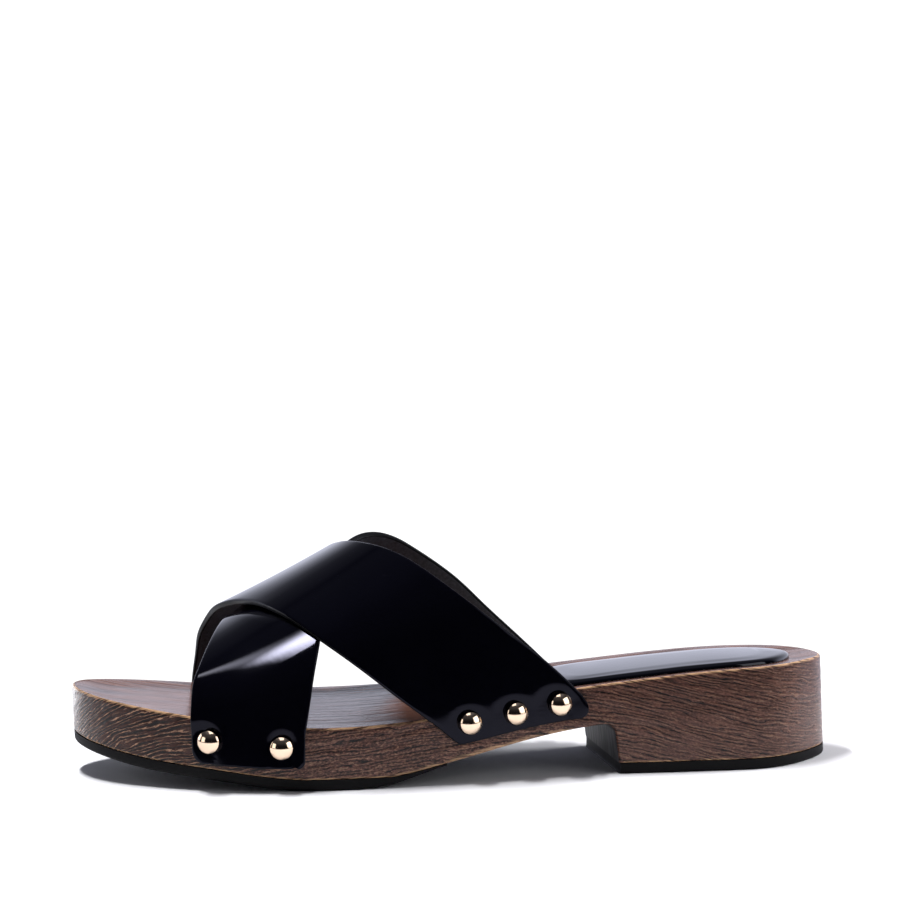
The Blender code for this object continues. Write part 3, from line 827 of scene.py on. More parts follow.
# %% Strap ends
CUT_ROUNDING = 0.6 * MM
STRAP_COLUMNS = 45
FLAP_ROWS = 26
FLAP_ENDS = ("front", "rear")
FLAPS = {
    "flare": (0.070, -0.022),
    "front_edge_shift_mm": (0.2, 7.0),
    "rear_edge_shift_mm": (-0.5, 4.0),
    "front_corner_mm": (3.5, 1.5),
    "rear_corner_mm": (2.5, 5.0),
    "front_bare_wood_mm": (1.9, 5.0),
    "rear_bare_wood_mm": (3.8, 3.6),
}


def corner_inset(radius, above_edge):
    """How far a round corner draws the side in, at a height above the edge that it runs into."""
    into_corner = np.clip(radius - above_edge, 0, radius)
    return radius - np.sqrt(radius**2 - into_corner**2)


def flap_rows(side, end, edges):
    """Rows of a strap's end down the side wall, from below the rim to its lower edge with round corners."""
    flap = table_row(FLAPS, FLAP_ENDS.index(end))
    across = np.linspace(0, 1, STRAP_COLUMNS)
    bare_wood = flap["front_bare_wood"] + (flap["rear_bare_wood"] - flap["front_bare_wood"]) * across
    bare_wood = bare_wood + CUT_ROUNDING
    rows = []
    for down in np.sin(np.linspace(0, math.pi / 2, FLAP_ROWS + 1))[1:]:
        front = edges[0] + flap["front_edge_shift"] * down
        rear = edges[1] + flap["rear_edge_shift"] * down
        middle = (front + rear) / 2
        drop = rim_height(middle) - LAST_RIM_DROP - underside_height(middle) - bare_wood.mean()
        above_edge = drop * (1 - down)
        front += corner_inset(flap["front_corner"] - CUT_ROUNDING, above_edge)
        rear -= corner_inset(flap["rear_corner"] - CUT_ROUNDING, above_edge)
        x = front + (rear - front) * across
        z_rim = rim_height(x) - LAST_RIM_DROP
        z = z_rim + (underside_height(x) + bare_wood - z_rim) * down
        rows.append(np.stack([x, side_y(x, side), z], axis=-1))
    return rows


print("rows in a strap's end:", FLAP_ROWS)

# %% Strap faces
STRAP_ROWS = 170
STRAP_EDGES = {
    "girth": (0.00, 0.06, 0.12, 0.20, 0.30, 0.40, 0.50, 0.60, 0.70, 0.80, 0.88, 0.94, 1.00),
    "under_front_mm": (39.0, 39.2, 39.8, 42.3, 45.3, 48.0, 51.2, 56.8, 66.5, 80.0, 92.5, 103.5, 115),
    "under_rear_mm": (73.5, 75.0, 76.5, 79.0, 81.3, 84.3, 89.0, 98.0, 113.5, 130.5, 142.5, 152.5, 163),
    "over_front_mm": (114, 102.5, 91.7, 78.3, 67.0, 60.6, 55.4, 50.0, 46.2, 42.5, 40.8, 39.6, 39),
    "over_rear_mm": (162, 151.5, 140.0, 125.7, 109.8, 96.8, 90.6, 86.8, 83.5, 80.2, 77.9, 76.0, 73.5),
}


def strap_edge(name, girth):
    """Place of a strap's edge behind the toe tip."""
    return smooth_curve(np.array(girth), column(STRAP_EDGES, "girth"), column(STRAP_EDGES, name))


def strap_face(kind, outer_end, inner_end):
    """Grid of points of a strap's face on the last, from the outer flap over the crest to the inner flap."""
    across = np.linspace(0, 1, STRAP_COLUMNS)
    girths = np.linspace(0, 1, STRAP_ROWS + 1)
    front = strap_edge(kind + "_front_mm", girths) + CUT_ROUNDING
    rear = strap_edge(kind + "_rear_mm", girths) - CUT_ROUNDING
    rows = []
    for girth, low, high in zip(girths, front, rear):
        rows.append(np.array([last_point(x, girth) for x in low + (high - low) * across]))
    outer_rows = flap_rows("outer", outer_end, (front[0], rear[0]))[::-1]
    inner_rows = flap_rows("inner", inner_end, (front[-1], rear[-1]))
    girth_of_row = np.concatenate([np.zeros(len(outer_rows)), girths, np.ones(len(inner_rows))])
    return np.array(outer_rows + rows + inner_rows), girth_of_row, across


under_face, girth, across = strap_face("under", "front", "rear")
over_face, girth, across = strap_face("over", "rear", "front")
print("rows and columns of a strap:", over_face.shape[:2])

# %% Lift of the straps
CROSSING_GAP = 0.05 * MM
CLIMB_FROM, CLIMB_TO = 0.05, 0.20
FRONT_EDGE_CURL = 1.6 * MM
REAR_EDGE_CURL = 1.2 * MM
CURL_MIDDLE_GIRTH = 0.60
CURL_HALF_GIRTH = 0.24
FLARE_FROM = 4 * MM
FLARE_BEND = 4 * MM
FLARE_REACH = 16 * MM
SINK_DEPTH = 0.8 * MM
SINK_REACH = 6 * MM
SINK_GIRTH = (0.24, 0.36, 0.56, 0.70)


def curl(girth, across):
    """Share of an edge's curl: strongest at the edge and around one girth."""
    around = smooth_step(1 - np.abs(girth - CURL_MIDDLE_GIRTH) / CURL_HALF_GIRTH)
    return around[:, None] * np.clip(1 - across, 0, 1)[None, :] ** 2


def climb(girth):
    """Share of the way that a strap has climbed from the side wall to the crossing."""
    return smooth_step((np.minimum(girth, 1 - girth) - CLIMB_FROM) / (CLIMB_TO - CLIMB_FROM))


def flap_flare(face, girth, outer_end, inner_end):
    """Lift of the flaps: one with a flare stands off the wall at its lower end, the other at the rim."""
    flare = [FLAPS["flare"][FLAP_ENDS.index(end)] for end in (outer_end, inner_end)]
    slope = np.where(face[..., 1] < LAST_AXIS_Y, flare[0], flare[1])
    down = np.maximum(0, rim_height(face[..., 0]) - LAST_RIM_DROP + FLARE_FROM - face[..., 2])
    bent = np.where(down < FLARE_BEND, down**2 / (2 * FLARE_BEND), down - FLARE_BEND / 2)
    at_rim = np.maximum(0, -slope) * FLARE_REACH * (1 - climb(girth))[:, None]
    return slope * np.minimum(bent, FLARE_REACH) + at_rim


def crossing_sink(face, girth):
    """How far the under strap is pressed in where the over strap's front edge crosses it."""
    before = np.maximum(0, strap_edge("over_front_mm", girth)[:, None] - face[..., 0])
    rise_from, rise_to, fall_from, fall_to = SINK_GIRTH
    window = smooth_step((girth - rise_from) / (rise_to - rise_from))
    window = window * smooth_step((fall_to - girth) / (fall_to - fall_from))
    return SINK_DEPTH * window[:, None] * smooth_step(1 - before / SINK_REACH)


under_lift = REAR_EDGE_CURL * curl(girth, 1 - across) + flap_flare(under_face, girth, "front", "rear")
under_lift -= crossing_sink(under_face, girth)
over_lift = (STRAP_THICKNESS + CROSSING_GAP) * climb(girth)[:, None] + FRONT_EDGE_CURL * curl(girth, across)
over_lift += flap_flare(over_face, girth, "rear", "front")
print("highest lift of the straps, mm:", [round(float(l.max()) / MM, 2) for l in (under_lift, over_lift)])

# %% Closed straps
STUD_RADIUS = 3.8 * MM
DIP_BEND = 0.058 / MM
# Finishes of a strap in the order of its list, and how many rings of its edge the lacquer runs over
FACE, EDGE, LINING = range(3)
LACQUERED_RINGS = 2


def unit(vectors):
    """Vectors of length 1."""
    return vectors / np.linalg.norm(vectors, axis=-1, keepdims=True)


def leather_dips(outer):
    """How far the nails draw the leather in, round each stud and below it."""
    dips = np.zeros(outer.shape[:2])
    for middle, out, reach, narrowness in stud_dips:
        apart = lean(outer) - middle
        aside = narrowness * (apart @ np.cross(out, UP))
        from_middle = np.hypot(aside, np.maximum(0, apart[..., 2]))
        near = np.abs(apart @ out) < reach
        dips += near * DIP_BEND / 2 * np.clip(reach - from_middle, 0, reach - STUD_RADIUS) ** 2
    return dips


def strap_mesh(face, lift):
    """Closed strap: inner face, outer face and a rounded cut edge; also which finish each face has."""
    normal = unit(np.cross(np.gradient(face, axis=1), np.gradient(face, axis=0)))
    inner = face + normal * (SEAT_GAP + lift)[..., None]
    outer = inner + normal * STRAP_THICKNESS
    outer = outer - normal * leather_dips(outer)[..., None]

    rows, columns = lift.shape
    index = np.arange(rows * columns).reshape(rows, columns)
    border = np.concatenate([index[0, :-1], index[:-1, -1], index[-1, :0:-1], index[:0:-1, 0]])
    flat_inner, flat_outer, flat_normal = (a.reshape(-1, 3) for a in (inner, outer, normal))
    ring_in, ring_out, ring_normal = flat_inner[border], flat_outer[border], flat_normal[border]
    along = unit(np.roll(ring_out, -1, axis=0) - np.roll(ring_out, 1, axis=0))
    outward = unit(np.cross(along, ring_normal))
    if np.mean(np.einsum("ij,ij->i", outward, ring_out - ring_out.mean(axis=0))) < 0:
        outward = -outward
    turns = np.linspace(0, math.pi / 2, ARC_STEPS)[1:]
    rings = []
    for ring, inward, order in ((ring_out, -1, turns), (ring_in, 1, turns[::-1])):
        for a in order:
            sunk = inward * ring_normal * CUT_ROUNDING * (1 - math.cos(a))
            rings.append(ring + outward * CUT_ROUNDING * math.sin(a) + sunk)
    points = np.concatenate([flat_inner, flat_outer, *rings])

    size = rows * columns
    count = len(border)
    quads = [index[:-1, :-1], index[1:, :-1], index[1:, 1:], index[:-1, 1:]]
    inner_faces = np.stack([q.ravel() for q in quads], axis=1)
    outer_faces = inner_faces[:, ::-1] + size
    ring_index = [2 * size + k * count + np.arange(count) for k in range(len(rings))]
    ring_index = [border + size, *ring_index, border]
    edge_faces = [np.stack([a, np.roll(a, -1), np.roll(b, -1), b], axis=1)
                  for a, b in zip(ring_index, ring_index[1:])]
    faces = np.concatenate([outer_faces, inner_faces, *edge_faces])
    painted_rings = len(edge_faces) - LACQUERED_RINGS
    finish_of = np.repeat(
        (FACE, LINING, FACE, EDGE),
        (len(outer_faces), len(inner_faces), LACQUERED_RINGS * count, painted_rings * count))
    return lean(points), faces.tolist(), finish_of


under_mesh = strap_mesh(under_face, under_lift)
over_mesh = strap_mesh(over_face, over_lift)
print("strap points:", len(under_mesh[0]), len(over_mesh[0]))

# %% [markdown]
# ## Patent leather, painted edge and lining
# Patent leather is leather under a clear, level lacquer, so it is black with mirror reflections, and a
# slight orange peel keeps them from being perfect. A black base with a coat on top would do too, but then
# the base mirrors as well, so one smooth layer is used. Its cut edges are painted and softer. The lining
# is a thin black synthetic with a printed grain, much duller than the face.

# %% Patent leather
PEEL_MM = 5.0
PEEL_DEPTH = 0.012 * MM
# Lacquer's IOR is about 1.5; on the straps it is lowered until their mirror is as dark as on the real shoe
STRAP_LACQUER_IOR = 1.26


def patent_leather(name, peel_mm, ior, mirror_tint):
    """Lacquered leather: a deep black that mirrors the studio a little bluish, with a slight orange peel."""
    finish, tree, shader = new_finish(name)
    at = add_node(tree, "ShaderNodeTexCoord").outputs["Object"]
    peel = add_node(tree, "ShaderNodeTexNoise", {"Vector": at, "Scale": 1 / (peel_mm * MM), "Detail": 2.0})
    haze = add_node(tree, "ShaderNodeTexNoise", {"Vector": at, "Scale": 1 / (PATCH_MM * MM), "Detail": 3.0})
    gloss = add_node(tree, "ShaderNodeMapRange", {
        "Value": haze.outputs["Fac"], "To Min": 0.03, "To Max": 0.09})
    black = add_node(tree, "ShaderNodeMix", {
        0: haze.outputs["Fac"], 6: srgb("#020206"), 7: srgb("#05050b")}, data_type="RGBA")
    bump = add_node(tree, "ShaderNodeBump", {"Height": peel.outputs["Fac"], "Distance": PEEL_DEPTH})
    tree.links.new(black.outputs[2], shader.inputs["Base Color"])
    tree.links.new(gloss.outputs[0], shader.inputs["Roughness"])
    tree.links.new(bump.outputs[0], shader.inputs["Normal"])
    shader.inputs["IOR"].default_value = ior
    shader.inputs["Specular Tint"].default_value = srgb(mirror_tint)
    return finish


strap_finishes = [patent_leather("black_patent_leather", PEEL_MM, STRAP_LACQUER_IOR, "#dadaf6")]
print("finish of the straps' face:", strap_finishes[FACE].name)

# %% Painted edge, lining and the straps
LINING_GRAIN_MM = 0.9
LINING_DEPTH = 0.08 * MM


def painted_edge():
    """Edge paint on cut leather: a satin black, softer than the face, that catches a thin line of light."""
    finish, tree, shader = new_finish("painted_cut_edge")
    at = add_node(tree, "ShaderNodeTexCoord").outputs["Object"]
    brush = add_node(tree, "ShaderNodeTexNoise", {
        "Vector": at, "Scale": 1 / (PEBBLE_MM * MM), "Detail": 3.0})
    colour = add_node(tree, "ShaderNodeMix", {
        0: brush.outputs["Fac"], 6: srgb("#050506"), 7: srgb("#0f0f11")}, data_type="RGBA")
    bump = add_node(tree, "ShaderNodeBump", {
        "Height": brush.outputs["Fac"], "Strength": 0.5, "Distance": PEBBLE_DEPTH})
    tree.links.new(colour.outputs[2], shader.inputs["Base Color"])
    tree.links.new(bump.outputs[0], shader.inputs["Normal"])
    shader.inputs["Roughness"].default_value = 0.38
    shader.inputs["Specular IOR Level"].default_value = 0.10
    return finish


def grained_lining():
    """Printed synthetic lining: a dull charcoal of small cells, greyer than the face in the same light."""
    finish, tree, shader = new_finish("black_grained_lining")
    at = add_node(tree, "ShaderNodeTexCoord").outputs["Object"]
    cells = add_node(tree, "ShaderNodeTexVoronoi", {"Vector": at, "Scale": 1 / (LINING_GRAIN_MM * MM)})
    colour = add_node(tree, "ShaderNodeMix", {
        0: cells.outputs["Distance"], 6: srgb("#41434d"), 7: srgb("#24252c")}, data_type="RGBA")
    bump = add_node(tree, "ShaderNodeBump", {
        "Height": cells.outputs["Distance"], "Strength": 0.7, "Distance": LINING_DEPTH}, invert=True)
    tree.links.new(colour.outputs[2], shader.inputs["Base Color"])
    tree.links.new(bump.outputs[0], shader.inputs["Normal"])
    shader.inputs["Roughness"].default_value = 0.55
    return finish


strap_finishes += [painted_edge(), grained_lining()]
for name, (points, faces, finish_of) in (("under_strap", under_mesh), ("over_strap", over_mesh)):
    strap = make_piece(name, points, faces, strap_finishes, finish_of)
    fit_piece(strap, "patent", "upper")

# %% [markdown]
# ## Domed studs
# The straps are nailed to the block with dome-headed studs, plated in pale gold and polished. Half balls
# would be simpler, but a real head is pressed from sheet: a turned profile gives each a skirt that sinks
# into the leather, a small round bead, a short wall with a round shoulder, and a cap that is flatter than
# a half ball. Plating is a metal, so its colour is the colour of its reflections.

# %% Pale gold
# Polishing marks are finer than this, and are drawn as coarse as they need to show
PLATING_SPECK_MM = 1.2


def pale_gold():
    """Polished plating: a pale warm mirror whose polish is faintly uneven."""
    finish, tree, shader = new_finish("polished_pale_gold_plating")
    at = add_node(tree, "ShaderNodeTexCoord").outputs["Object"]
    speck = add_node(tree, "ShaderNodeTexNoise", {
        "Vector": at, "Scale": 1 / (PLATING_SPECK_MM * MM), "Detail": 3.0})
    colour = add_node(tree, "ShaderNodeMix", {
        0: speck.outputs["Fac"], 6: srgb("#e4c9ae"), 7: srgb("#eed6bd")}, data_type="RGBA")
    polish = add_node(tree, "ShaderNodeMapRange", {
        "Value": speck.outputs["Fac"], "To Min": 0.05, "To Max": 0.14})
    tree.links.new(colour.outputs[2], shader.inputs["Base Color"])
    tree.links.new(polish.outputs[0], shader.inputs["Roughness"])
    shader.inputs["Metallic"].default_value = 1.0
    return finish


gold = pale_gold()
print("finish of the studs:", gold.name)

# %% Stud heads
STUD_SEGMENTS = 48
STUD_RINGS = 14
STUD_HEIGHT = 3.3 * MM
STUD_BEAD = 0.25 * MM
STUD_SKIRT = 0.9 * MM
STUD_SHOULDER = 0.35 * MM
STUD_CAP = 1.5 * MM


def stud_profile():
    """Pairs of radius and height: skirt in the leather, bead, short wall, shoulder and cap."""
    neck = STUD_RADIUS - STUD_BEAD
    profile = [(neck - STUD_BEAD, -STUD_SKIRT), (neck, 0.0)]
    for a in np.linspace(-math.pi / 2, 0, ARC_STEPS)[1:]:
        profile.append((neck + STUD_BEAD * math.cos(a), STUD_BEAD + STUD_BEAD * math.sin(a)))
    cap_radius = STUD_RADIUS - STUD_SHOULDER
    ball = (cap_radius**2 + STUD_CAP**2) / (2 * STUD_CAP)
    reach = math.asin(cap_radius / ball)
    middle = cap_radius - STUD_SHOULDER * math.sin(reach)
    shoulder = STUD_HEIGHT - STUD_CAP - STUD_SHOULDER * math.cos(reach)
    for a in np.linspace(0, math.pi / 2 - reach, ARC_STEPS)[:-1]:
        profile.append((middle + STUD_SHOULDER * math.cos(a), shoulder + STUD_SHOULDER * math.sin(a)))
    for a in np.linspace(reach, 0, STUD_RINGS + 1)[:-1]:
        profile.append((ball * math.sin(a), STUD_HEIGHT - ball + ball * math.cos(a)))
    return profile


def stud_mesh(seat, out):
    """Points and faces of a stud head on its seat, facing out of the wall."""
    profile = stud_profile()
    turns = np.linspace(0, 2 * math.pi, STUD_SEGMENTS, endpoint=False)
    points = [(r * math.cos(t), r * math.sin(t), z) for r, z in profile for t in turns]
    points += [(0, 0, STUD_HEIGHT), (0, 0, -STUD_SKIRT)]
    faces = ring_faces(len(profile), STUD_SEGMENTS).tolist()
    last, top = (len(profile) - 1) * STUD_SEGMENTS, len(points) - 2
    for i in range(STUD_SEGMENTS):
        j = (i + 1) % STUD_SEGMENTS
        faces += [(last + i, last + j, top), (j, i, top + 1)]
    turn = np.array(Vector(out).to_track_quat("Z", "Y").to_matrix())
    return np.array(points) @ turn.T + seat, faces


stud_heads = []
for node, (seat, out) in seats.items():
    head = make_piece(node.replace("stud", "stud_head"), *stud_mesh(seat, out), [gold])
    fit_piece(head, "stud", node)
    stud_heads.append(head)

# %% [markdown]
# ## The padded heel pad
# A thin foam pad under patent leather lies in the hollow of the heel seat. A cloth simulation would lose
# a pad that is only two millimetres high, so its cushion form is worked out: a steep round edge that
# flattens to a low crown, with soft waves from the foam.

# %% Pad shape
PAD_FRONT_X = 152 * MM
PAD_REAR_X = 239 * MM
PAD_OUTER_MARGIN = 8 * MM
PAD_INNER_MARGIN = 12 * MM
PAD_CORNER_POWER = 7
PAD_STEPS = 150
PAD_HEIGHT = 1.7 * MM
PAD_EDGE_REACH = 3.2 * MM
PAD_EDGE_POWER = 3
PAD_CROWN = 0.45 * MM
PAD_CROWN_REACH = 3 * PAD_EDGE_REACH
PAD_WAVE = 0.06 * MM
PAD_WAVE_LENGTH = 13 * MM


def pad_height(inset, along, aside):
    """Height of the pad over the footbed at a distance in from its edge."""
    edge = PAD_HEIGHT * np.sqrt(1 - (1 - np.clip(inset / PAD_EDGE_REACH, 0, 1)) ** PAD_EDGE_POWER)
    crown = PAD_CROWN * smooth_step(inset / PAD_CROWN_REACH)
    places = zip(along / PAD_WAVE_LENGTH, aside / PAD_WAVE_LENGTH)
    waves = np.array([noise.noise((a, b, 0.0)) for a, b in places])
    return edge + crown + PAD_WAVE * waves * smooth_step(inset / PAD_EDGE_REACH)


def pad_loop(inset, raised):
    """One loop round the pad, drawn in from its edge: on the pad's top where raised, or else on its base."""
    share = (1 - np.cos(np.linspace(0, math.pi, PAD_STEPS + 1))) / 2
    x = PAD_FRONT_X + (PAD_REAR_X - PAD_FRONT_X) * share
    ends = np.sqrt(1 - np.abs(2 * share - 1) ** PAD_CORNER_POWER)
    outer = side_y(x, "outer") + PAD_OUTER_MARGIN
    inner = side_y(x, "inner") - PAD_INNER_MARGIN
    middle, half = (outer + inner) / 2, (inner - outer) / 2 * ends
    angle = round_angle(share)
    along = x + inset * np.cos(angle)
    width = half - np.minimum(inset, half) * np.sin(angle)
    along, aside = both_sides(along, along), both_sides(middle - width, middle + width)
    height = footbed_height(along, aside) + SEAT_GAP
    if raised:
        height += pad_height(inset, along, aside)
    return np.stack([along, aside, height], axis=1)


print("pad length, mm:", round((PAD_REAR_X - PAD_FRONT_X) / MM))

# %% Heel pad
PAD_RINGS_MM = (0.0, 0.08, 0.25, 0.5, 0.8, 1.2, 1.7, 2.3, 3.2, 4.5, 6.0, 7.5, 9.0)
PAD_BASE_INSET = 6 * MM
PAD_PEEL_MM = 4.0
PAD_LACQUER_IOR = 1.52


def pad_mesh():
    """Points and faces of the pad, closed by one row of faces on its top and one on its base."""
    loops = [pad_loop(inset * MM, True) for inset in PAD_RINGS_MM[::-1]]
    loops += [pad_loop(inset, False) for inset in (0.0, PAD_BASE_INSET)]
    count = len(loops[0])
    faces = [ring_faces(len(loops), count)]
    i = np.arange(count // 2 - 1)
    for start in (0, (len(loops) - 1) * count):
        faces.append(start + np.stack([i, i + 1, count - 2 - i, count - 1 - i], axis=1))
    return np.concatenate(loops), np.concatenate(faces).tolist()


pad_patent = patent_leather("padded_patent_leather", PAD_PEEL_MM, PAD_LACQUER_IOR, "#f4f4ff")
heel_cushion = make_piece("heel_cushion", *pad_mesh(), [pad_patent])
fit_piece(heel_cushion, "patent", "heel_pad")

# %% [markdown]
# ## The white table
# A white table lies under the shoe and catches its shadow. An endless white floor would show a grey
# horizon, so the table fades out some way off, where no shadow falls, and the white room behind it takes
# over.

# %% Floor
FLOOR_HALF = 1.2
FLOOR_FADE_FROM, FLOOR_FADE_TO = 0.12, 0.19
FLOOR_STRETCH_X = 0.55


def white_table():
    """Matt white laminate: on it the eye sees only the shadow, which melts away into white."""
    finish, tree, shader = new_finish("white_table")
    at = add_node(tree, "ShaderNodeTexCoord").outputs["Object"]
    squeezed = add_node(tree, "ShaderNodeVectorMath", {
        0: at, 1: (FLOOR_STRETCH_X, 1.0, 1.0)}, operation="MULTIPLY")
    far = add_node(tree, "ShaderNodeVectorMath", {0: squeezed.outputs[0]}, operation="LENGTH")
    fade = add_node(tree, "ShaderNodeMapRange", {
        "Value": far.outputs["Value"], "From Min": FLOOR_FADE_FROM, "From Max": FLOOR_FADE_TO,
        "To Min": 1.0, "To Max": 0.0}, interpolation_type="SMOOTHSTEP")
    tree.links.new(fade.outputs[0], shader.inputs["Alpha"])
    shader.inputs["Base Color"].default_value = srgb("#e8e8ec")
    shader.inputs["Roughness"].default_value = 0.8
    shader.inputs["Specular IOR Level"].default_value = 0.1
    return finish


floor_mesh = bpy.data.meshes.new("floor")
corners = [(FLOOR_HALF * x, FLOOR_HALF * y, 0) for x, y in ((-1, -1), (1, -1), (1, 1), (-1, 1))]
floor_mesh.from_pydata(corners, [], [(0, 1, 2, 3)])
floor_mesh.materials.append(white_table())
floor = bpy.data.objects.new("floor", floor_mesh)
bpy.context.scene.collection.objects.link(floor)
print("floor fades out at, mm:", round(FLOOR_FADE_TO / MM))

# %% [markdown]
# ## The studio
# Glossy black shows whatever is round it, so the studio is arranged for its reflections. Screens could be
# modelled as planes, but a world whose brightness changes with height does the same with less: a bright
# wall behind the shoe and darkness behind the camera. The key is a strip light overhead, which casts the
# shadow and doesn't show in the gloss. Side lights fill the shadows. A lamp behind a wedge-shaped scrim
# draws the streak on the under strap, one lamp hazes the toe of the block, and three give the studs their
# highlights. Light linking keeps each of these to its own pieces, as flags beside a lamp do.

# %% Studio walls
# Brightness of the studio by height, as the sine of the elevation: behind the shoe and on the camera's side
STUDIO = {
    "height": (0.00, 0.12, 0.24, 0.36, 0.47, 0.60, 0.76, 0.82, 0.88, 1.00),
    "behind": (1.20, 1.20, 1.00, 0.68, 0.32, 0.16, 0.13, 0.06, 0.14, 0.20),
    "before": (0.01, 0.01, 0.01, 0.02, 0.03, 0.05, 0.06, 0.09, 0.14, 0.20),
}
STUDIO_SIDE = (0.10, 0.50)
STUDIO_FULL = max(STUDIO["behind"])


def studio_world():
    """White wherever the camera looks; for the shoe, a bright wall behind it and a dark room before it."""
    world = bpy.data.worlds.new("studio")
    world.use_nodes = True
    bpy.context.scene.world = world
    tree = world.node_tree
    toward = add_node(tree, "ShaderNodeTexCoord").outputs["Generated"]
    axes = add_node(tree, "ShaderNodeSeparateXYZ", {0: toward})
    levels = {}
    for side in ("before", "behind"):
        ramp = add_node(tree, "ShaderNodeValToRGB", {0: axes.outputs["Z"]})
        stops = ramp.color_ramp.elements
        while len(stops) < len(STUDIO["height"]):
            stops.new(0.5)
        for stop, at, level in zip(stops, STUDIO["height"], STUDIO[side]):
            stop.position = at
            stop.color = (*(level / STUDIO_FULL,) * 3, 1.0)
        levels[side] = ramp.outputs["Color"]
    behind = add_node(tree, "ShaderNodeMapRange", {
        "Value": axes.outputs["Y"], "From Min": STUDIO_SIDE[0], "From Max": STUDIO_SIDE[1]},
        interpolation_type="SMOOTHSTEP")
    level = add_node(tree, "ShaderNodeMix", {
        0: behind.outputs[0], 6: levels["before"], 7: levels["behind"]}, data_type="RGBA")
    tinted = add_node(tree, "ShaderNodeVectorMath", {
        0: level.outputs[2], 1: srgb("#e9ecff")[:3]}, operation="MULTIPLY")
    ray = add_node(tree, "ShaderNodeLightPath")
    seen = add_node(tree, "ShaderNodeMix", {
        0: ray.outputs["Is Camera Ray"], 6: tinted.outputs[0], 7: srgb("#ffffff")}, data_type="RGBA")
    background = tree.nodes["Background"]
    tree.links.new(seen.outputs[2], background.inputs["Color"])
    background.inputs["Strength"].default_value = STUDIO_FULL


studio_world()
bpy.context.scene.view_settings.view_transform = "Standard"
print("brightest wall:", STUDIO_FULL)

# %% Lamps that light the whole shoe


def softbox(name, place, aim, size, power, mirrored=True, shading=True, turn=0.0):
    """Rectangular light that shades, shows in gloss, or does both; sizes in metres, power in watts."""
    light = bpy.data.lights.new(name, "AREA")
    light.shape = "RECTANGLE"
    light.size, light.size_y = size
    light.energy = power
    box = bpy.data.objects.new(name, light)
    facing = (Vector(aim) - Vector(place)).to_track_quat("-Z", "Y")
    box.rotation_euler = (facing @ Quaternion((0, 0, 1), math.radians(turn))).to_euler()
    box.location = place
    box.visible_glossy = mirrored
    box.visible_diffuse = shading
    bpy.context.scene.collection.objects.link(box)
    return box


softbox("key", place=(-0.27, 0.03, 1.15), aim=(-0.03, -0.01, 0), size=(0.60, 0.06), power=20,
        mirrored=False)
softbox("front_fill", place=(-0.1, -1.2, 0.75), aim=(0, 0, 0.02), size=(1.0, 0.5), power=0.4,
        mirrored=False)
softbox("left_side", place=(-1.0, 0.30, 0.30), aim=(0, 0, 0.03), size=(0.5, 0.5), power=1.3)
softbox("right_side", place=(0.84, -0.56, 0.42), aim=(0, 0, 0.02), size=(0.80, 0.66), power=2.2)
softbox("right_back", place=(1.0, 0.25, 0.40), aim=(0.08, 0, 0.02), size=(0.5, 0.5), power=13,
        mirrored=False)
print("lights for the whole shoe:", len(bpy.data.lights))

# %% Lamps for one kind of piece
WEDGE_OPENING, WEDGE_TIP = 0.34, 0.10
WEDGE_RISE = (0.47, 0.76)
WEDGE_TAIL = 0.11
STUD_AIM = (0, -0.04, 0.02)


def flag_off(box, *pieces):
    """Lets a light reach these pieces alone, as flags beside a lamp keep it off the rest."""
    lit = bpy.data.collections.new(box.name + "_receivers")
    for piece in pieces:
        lit.objects.link(piece)
    box.light_linking.receiver_collection = lit


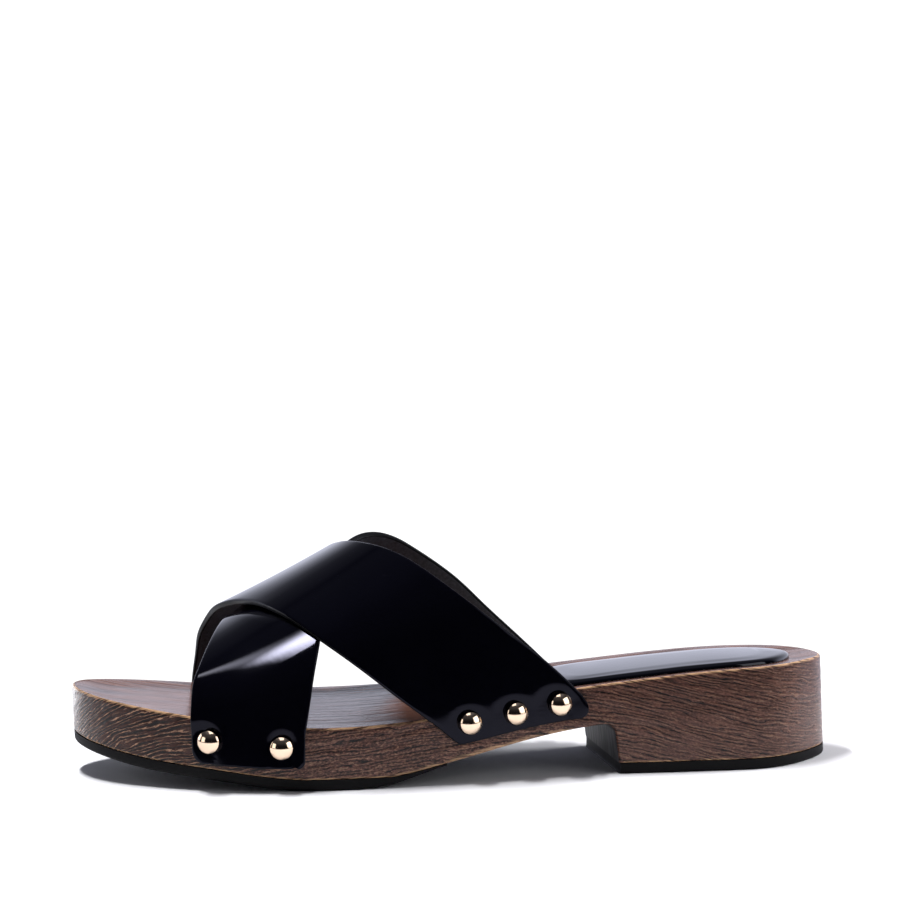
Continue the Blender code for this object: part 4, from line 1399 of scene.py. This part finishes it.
def wedge_scrim(light):
    """A scrim before the lamp: dim and narrow at one end, bright and wide at the other, with soft sides."""
    light.use_nodes = True
    tree = light.node_tree
    place = add_node(tree, "ShaderNodeNewGeometry").outputs["Parametric"]
    axes = add_node(tree, "ShaderNodeSeparateXYZ", {0: place})
    off_middle = add_node(tree, "ShaderNodeMath", {0: axes.outputs["Y"], 1: 0.5}, operation="SUBTRACT")
    off_middle = add_node(tree, "ShaderNodeMath", {0: off_middle.outputs[0]}, operation="ABSOLUTE")
    reach = add_node(tree, "ShaderNodeMath", {
        0: axes.outputs["X"], 1: WEDGE_OPENING, 2: WEDGE_TIP}, operation="MULTIPLY_ADD")
    share = add_node(tree, "ShaderNodeMath", {
        0: off_middle.outputs[0], 1: reach.outputs[0]}, operation="DIVIDE")
    soft_side = add_node(tree, "ShaderNodeMapRange", {
        "Value": share.outputs[0], "From Min": 1.0, "From Max": 0.0}, interpolation_type="SMOOTHSTEP")
    level = add_node(tree, "ShaderNodeMapRange", {
        "Value": axes.outputs["X"], "From Min": WEDGE_RISE[0], "From Max": WEDGE_RISE[1],
        "To Min": WEDGE_TAIL, "To Max": 1.0}, interpolation_type="SMOOTHSTEP")
    glow = add_node(tree, "ShaderNodeMath", {
        0: soft_side.outputs[0], 1: level.outputs[0]}, operation="MULTIPLY")
    tree.links.new(glow.outputs[0], tree.nodes["Emission"].inputs["Strength"])


wedge = softbox("wedge", place=(-0.53, -0.24, 1.0), aim=(-0.53, -0.24, 0), size=(0.88, 0.50), power=150,
                shading=False, turn=-55.6)
wedge_scrim(wedge.data)
flag_off(wedge, bpy.data.objects["under_strap"])
toe_haze = softbox("toe_haze", place=(-0.70, 0.95, 0.12), aim=(-0.12, 0, 0.02), size=(0.7, 0.6), power=5,
                   shading=False)
flag_off(toe_haze, wood_block)
for name, place, size, power in (
        ("stud_sky", (-0.10, -0.05, 1.10), (1.10, 0.55), 3.2),
        ("stud_left", (-0.92, -0.40, 0.22), (0.48, 0.50), 1.2),
        ("stud_right", (0.84, -0.46, 0.32), (0.72, 0.76), 2.6)):
    flag_off(softbox(name, place, STUD_AIM, size, power, shading=False), *stud_heads)
print("lights in all:", len(bpy.data.lights))

# %% [markdown]
# ## The camera
# The photograph was taken with a long lens from a little above the sole, nearly square to the shoe's
# outer side. A camera can be set by eye, but here its place and angles were fitted to the outline of the
# shoe in the photograph, at a sole length of 250 mm, so the two pictures can be compared point by point.

# %% Camera
CAMERA_PLACE = Vector((-85.76, -700.28, 130.96)) * MM
CAMERA_YAW, CAMERA_PITCH, CAMERA_ROLL = (math.radians(a) for a in (-6.90, -2.227, -0.45))
FOCAL_LENGTH_MM = 85.47
SENSOR_MM = 36.0

camera_data = bpy.data.cameras.new("camera")
camera_data.lens = FOCAL_LENGTH_MM
camera_data.sensor_width = SENSOR_MM
camera = bpy.data.objects.new("camera", camera_data)
turn = Matrix.Rotation(CAMERA_YAW, 4, "Z") @ Matrix.Rotation(math.pi / 2 + CAMERA_PITCH, 4, "X")
camera.matrix_world = Matrix.Translation(CAMERA_PLACE) @ turn @ Matrix.Rotation(CAMERA_ROLL, 4, "Z")
bpy.context.scene.collection.objects.link(camera)
bpy.context.scene.camera = camera
print("camera distance, mm:", round(CAMERA_PLACE.length / MM))
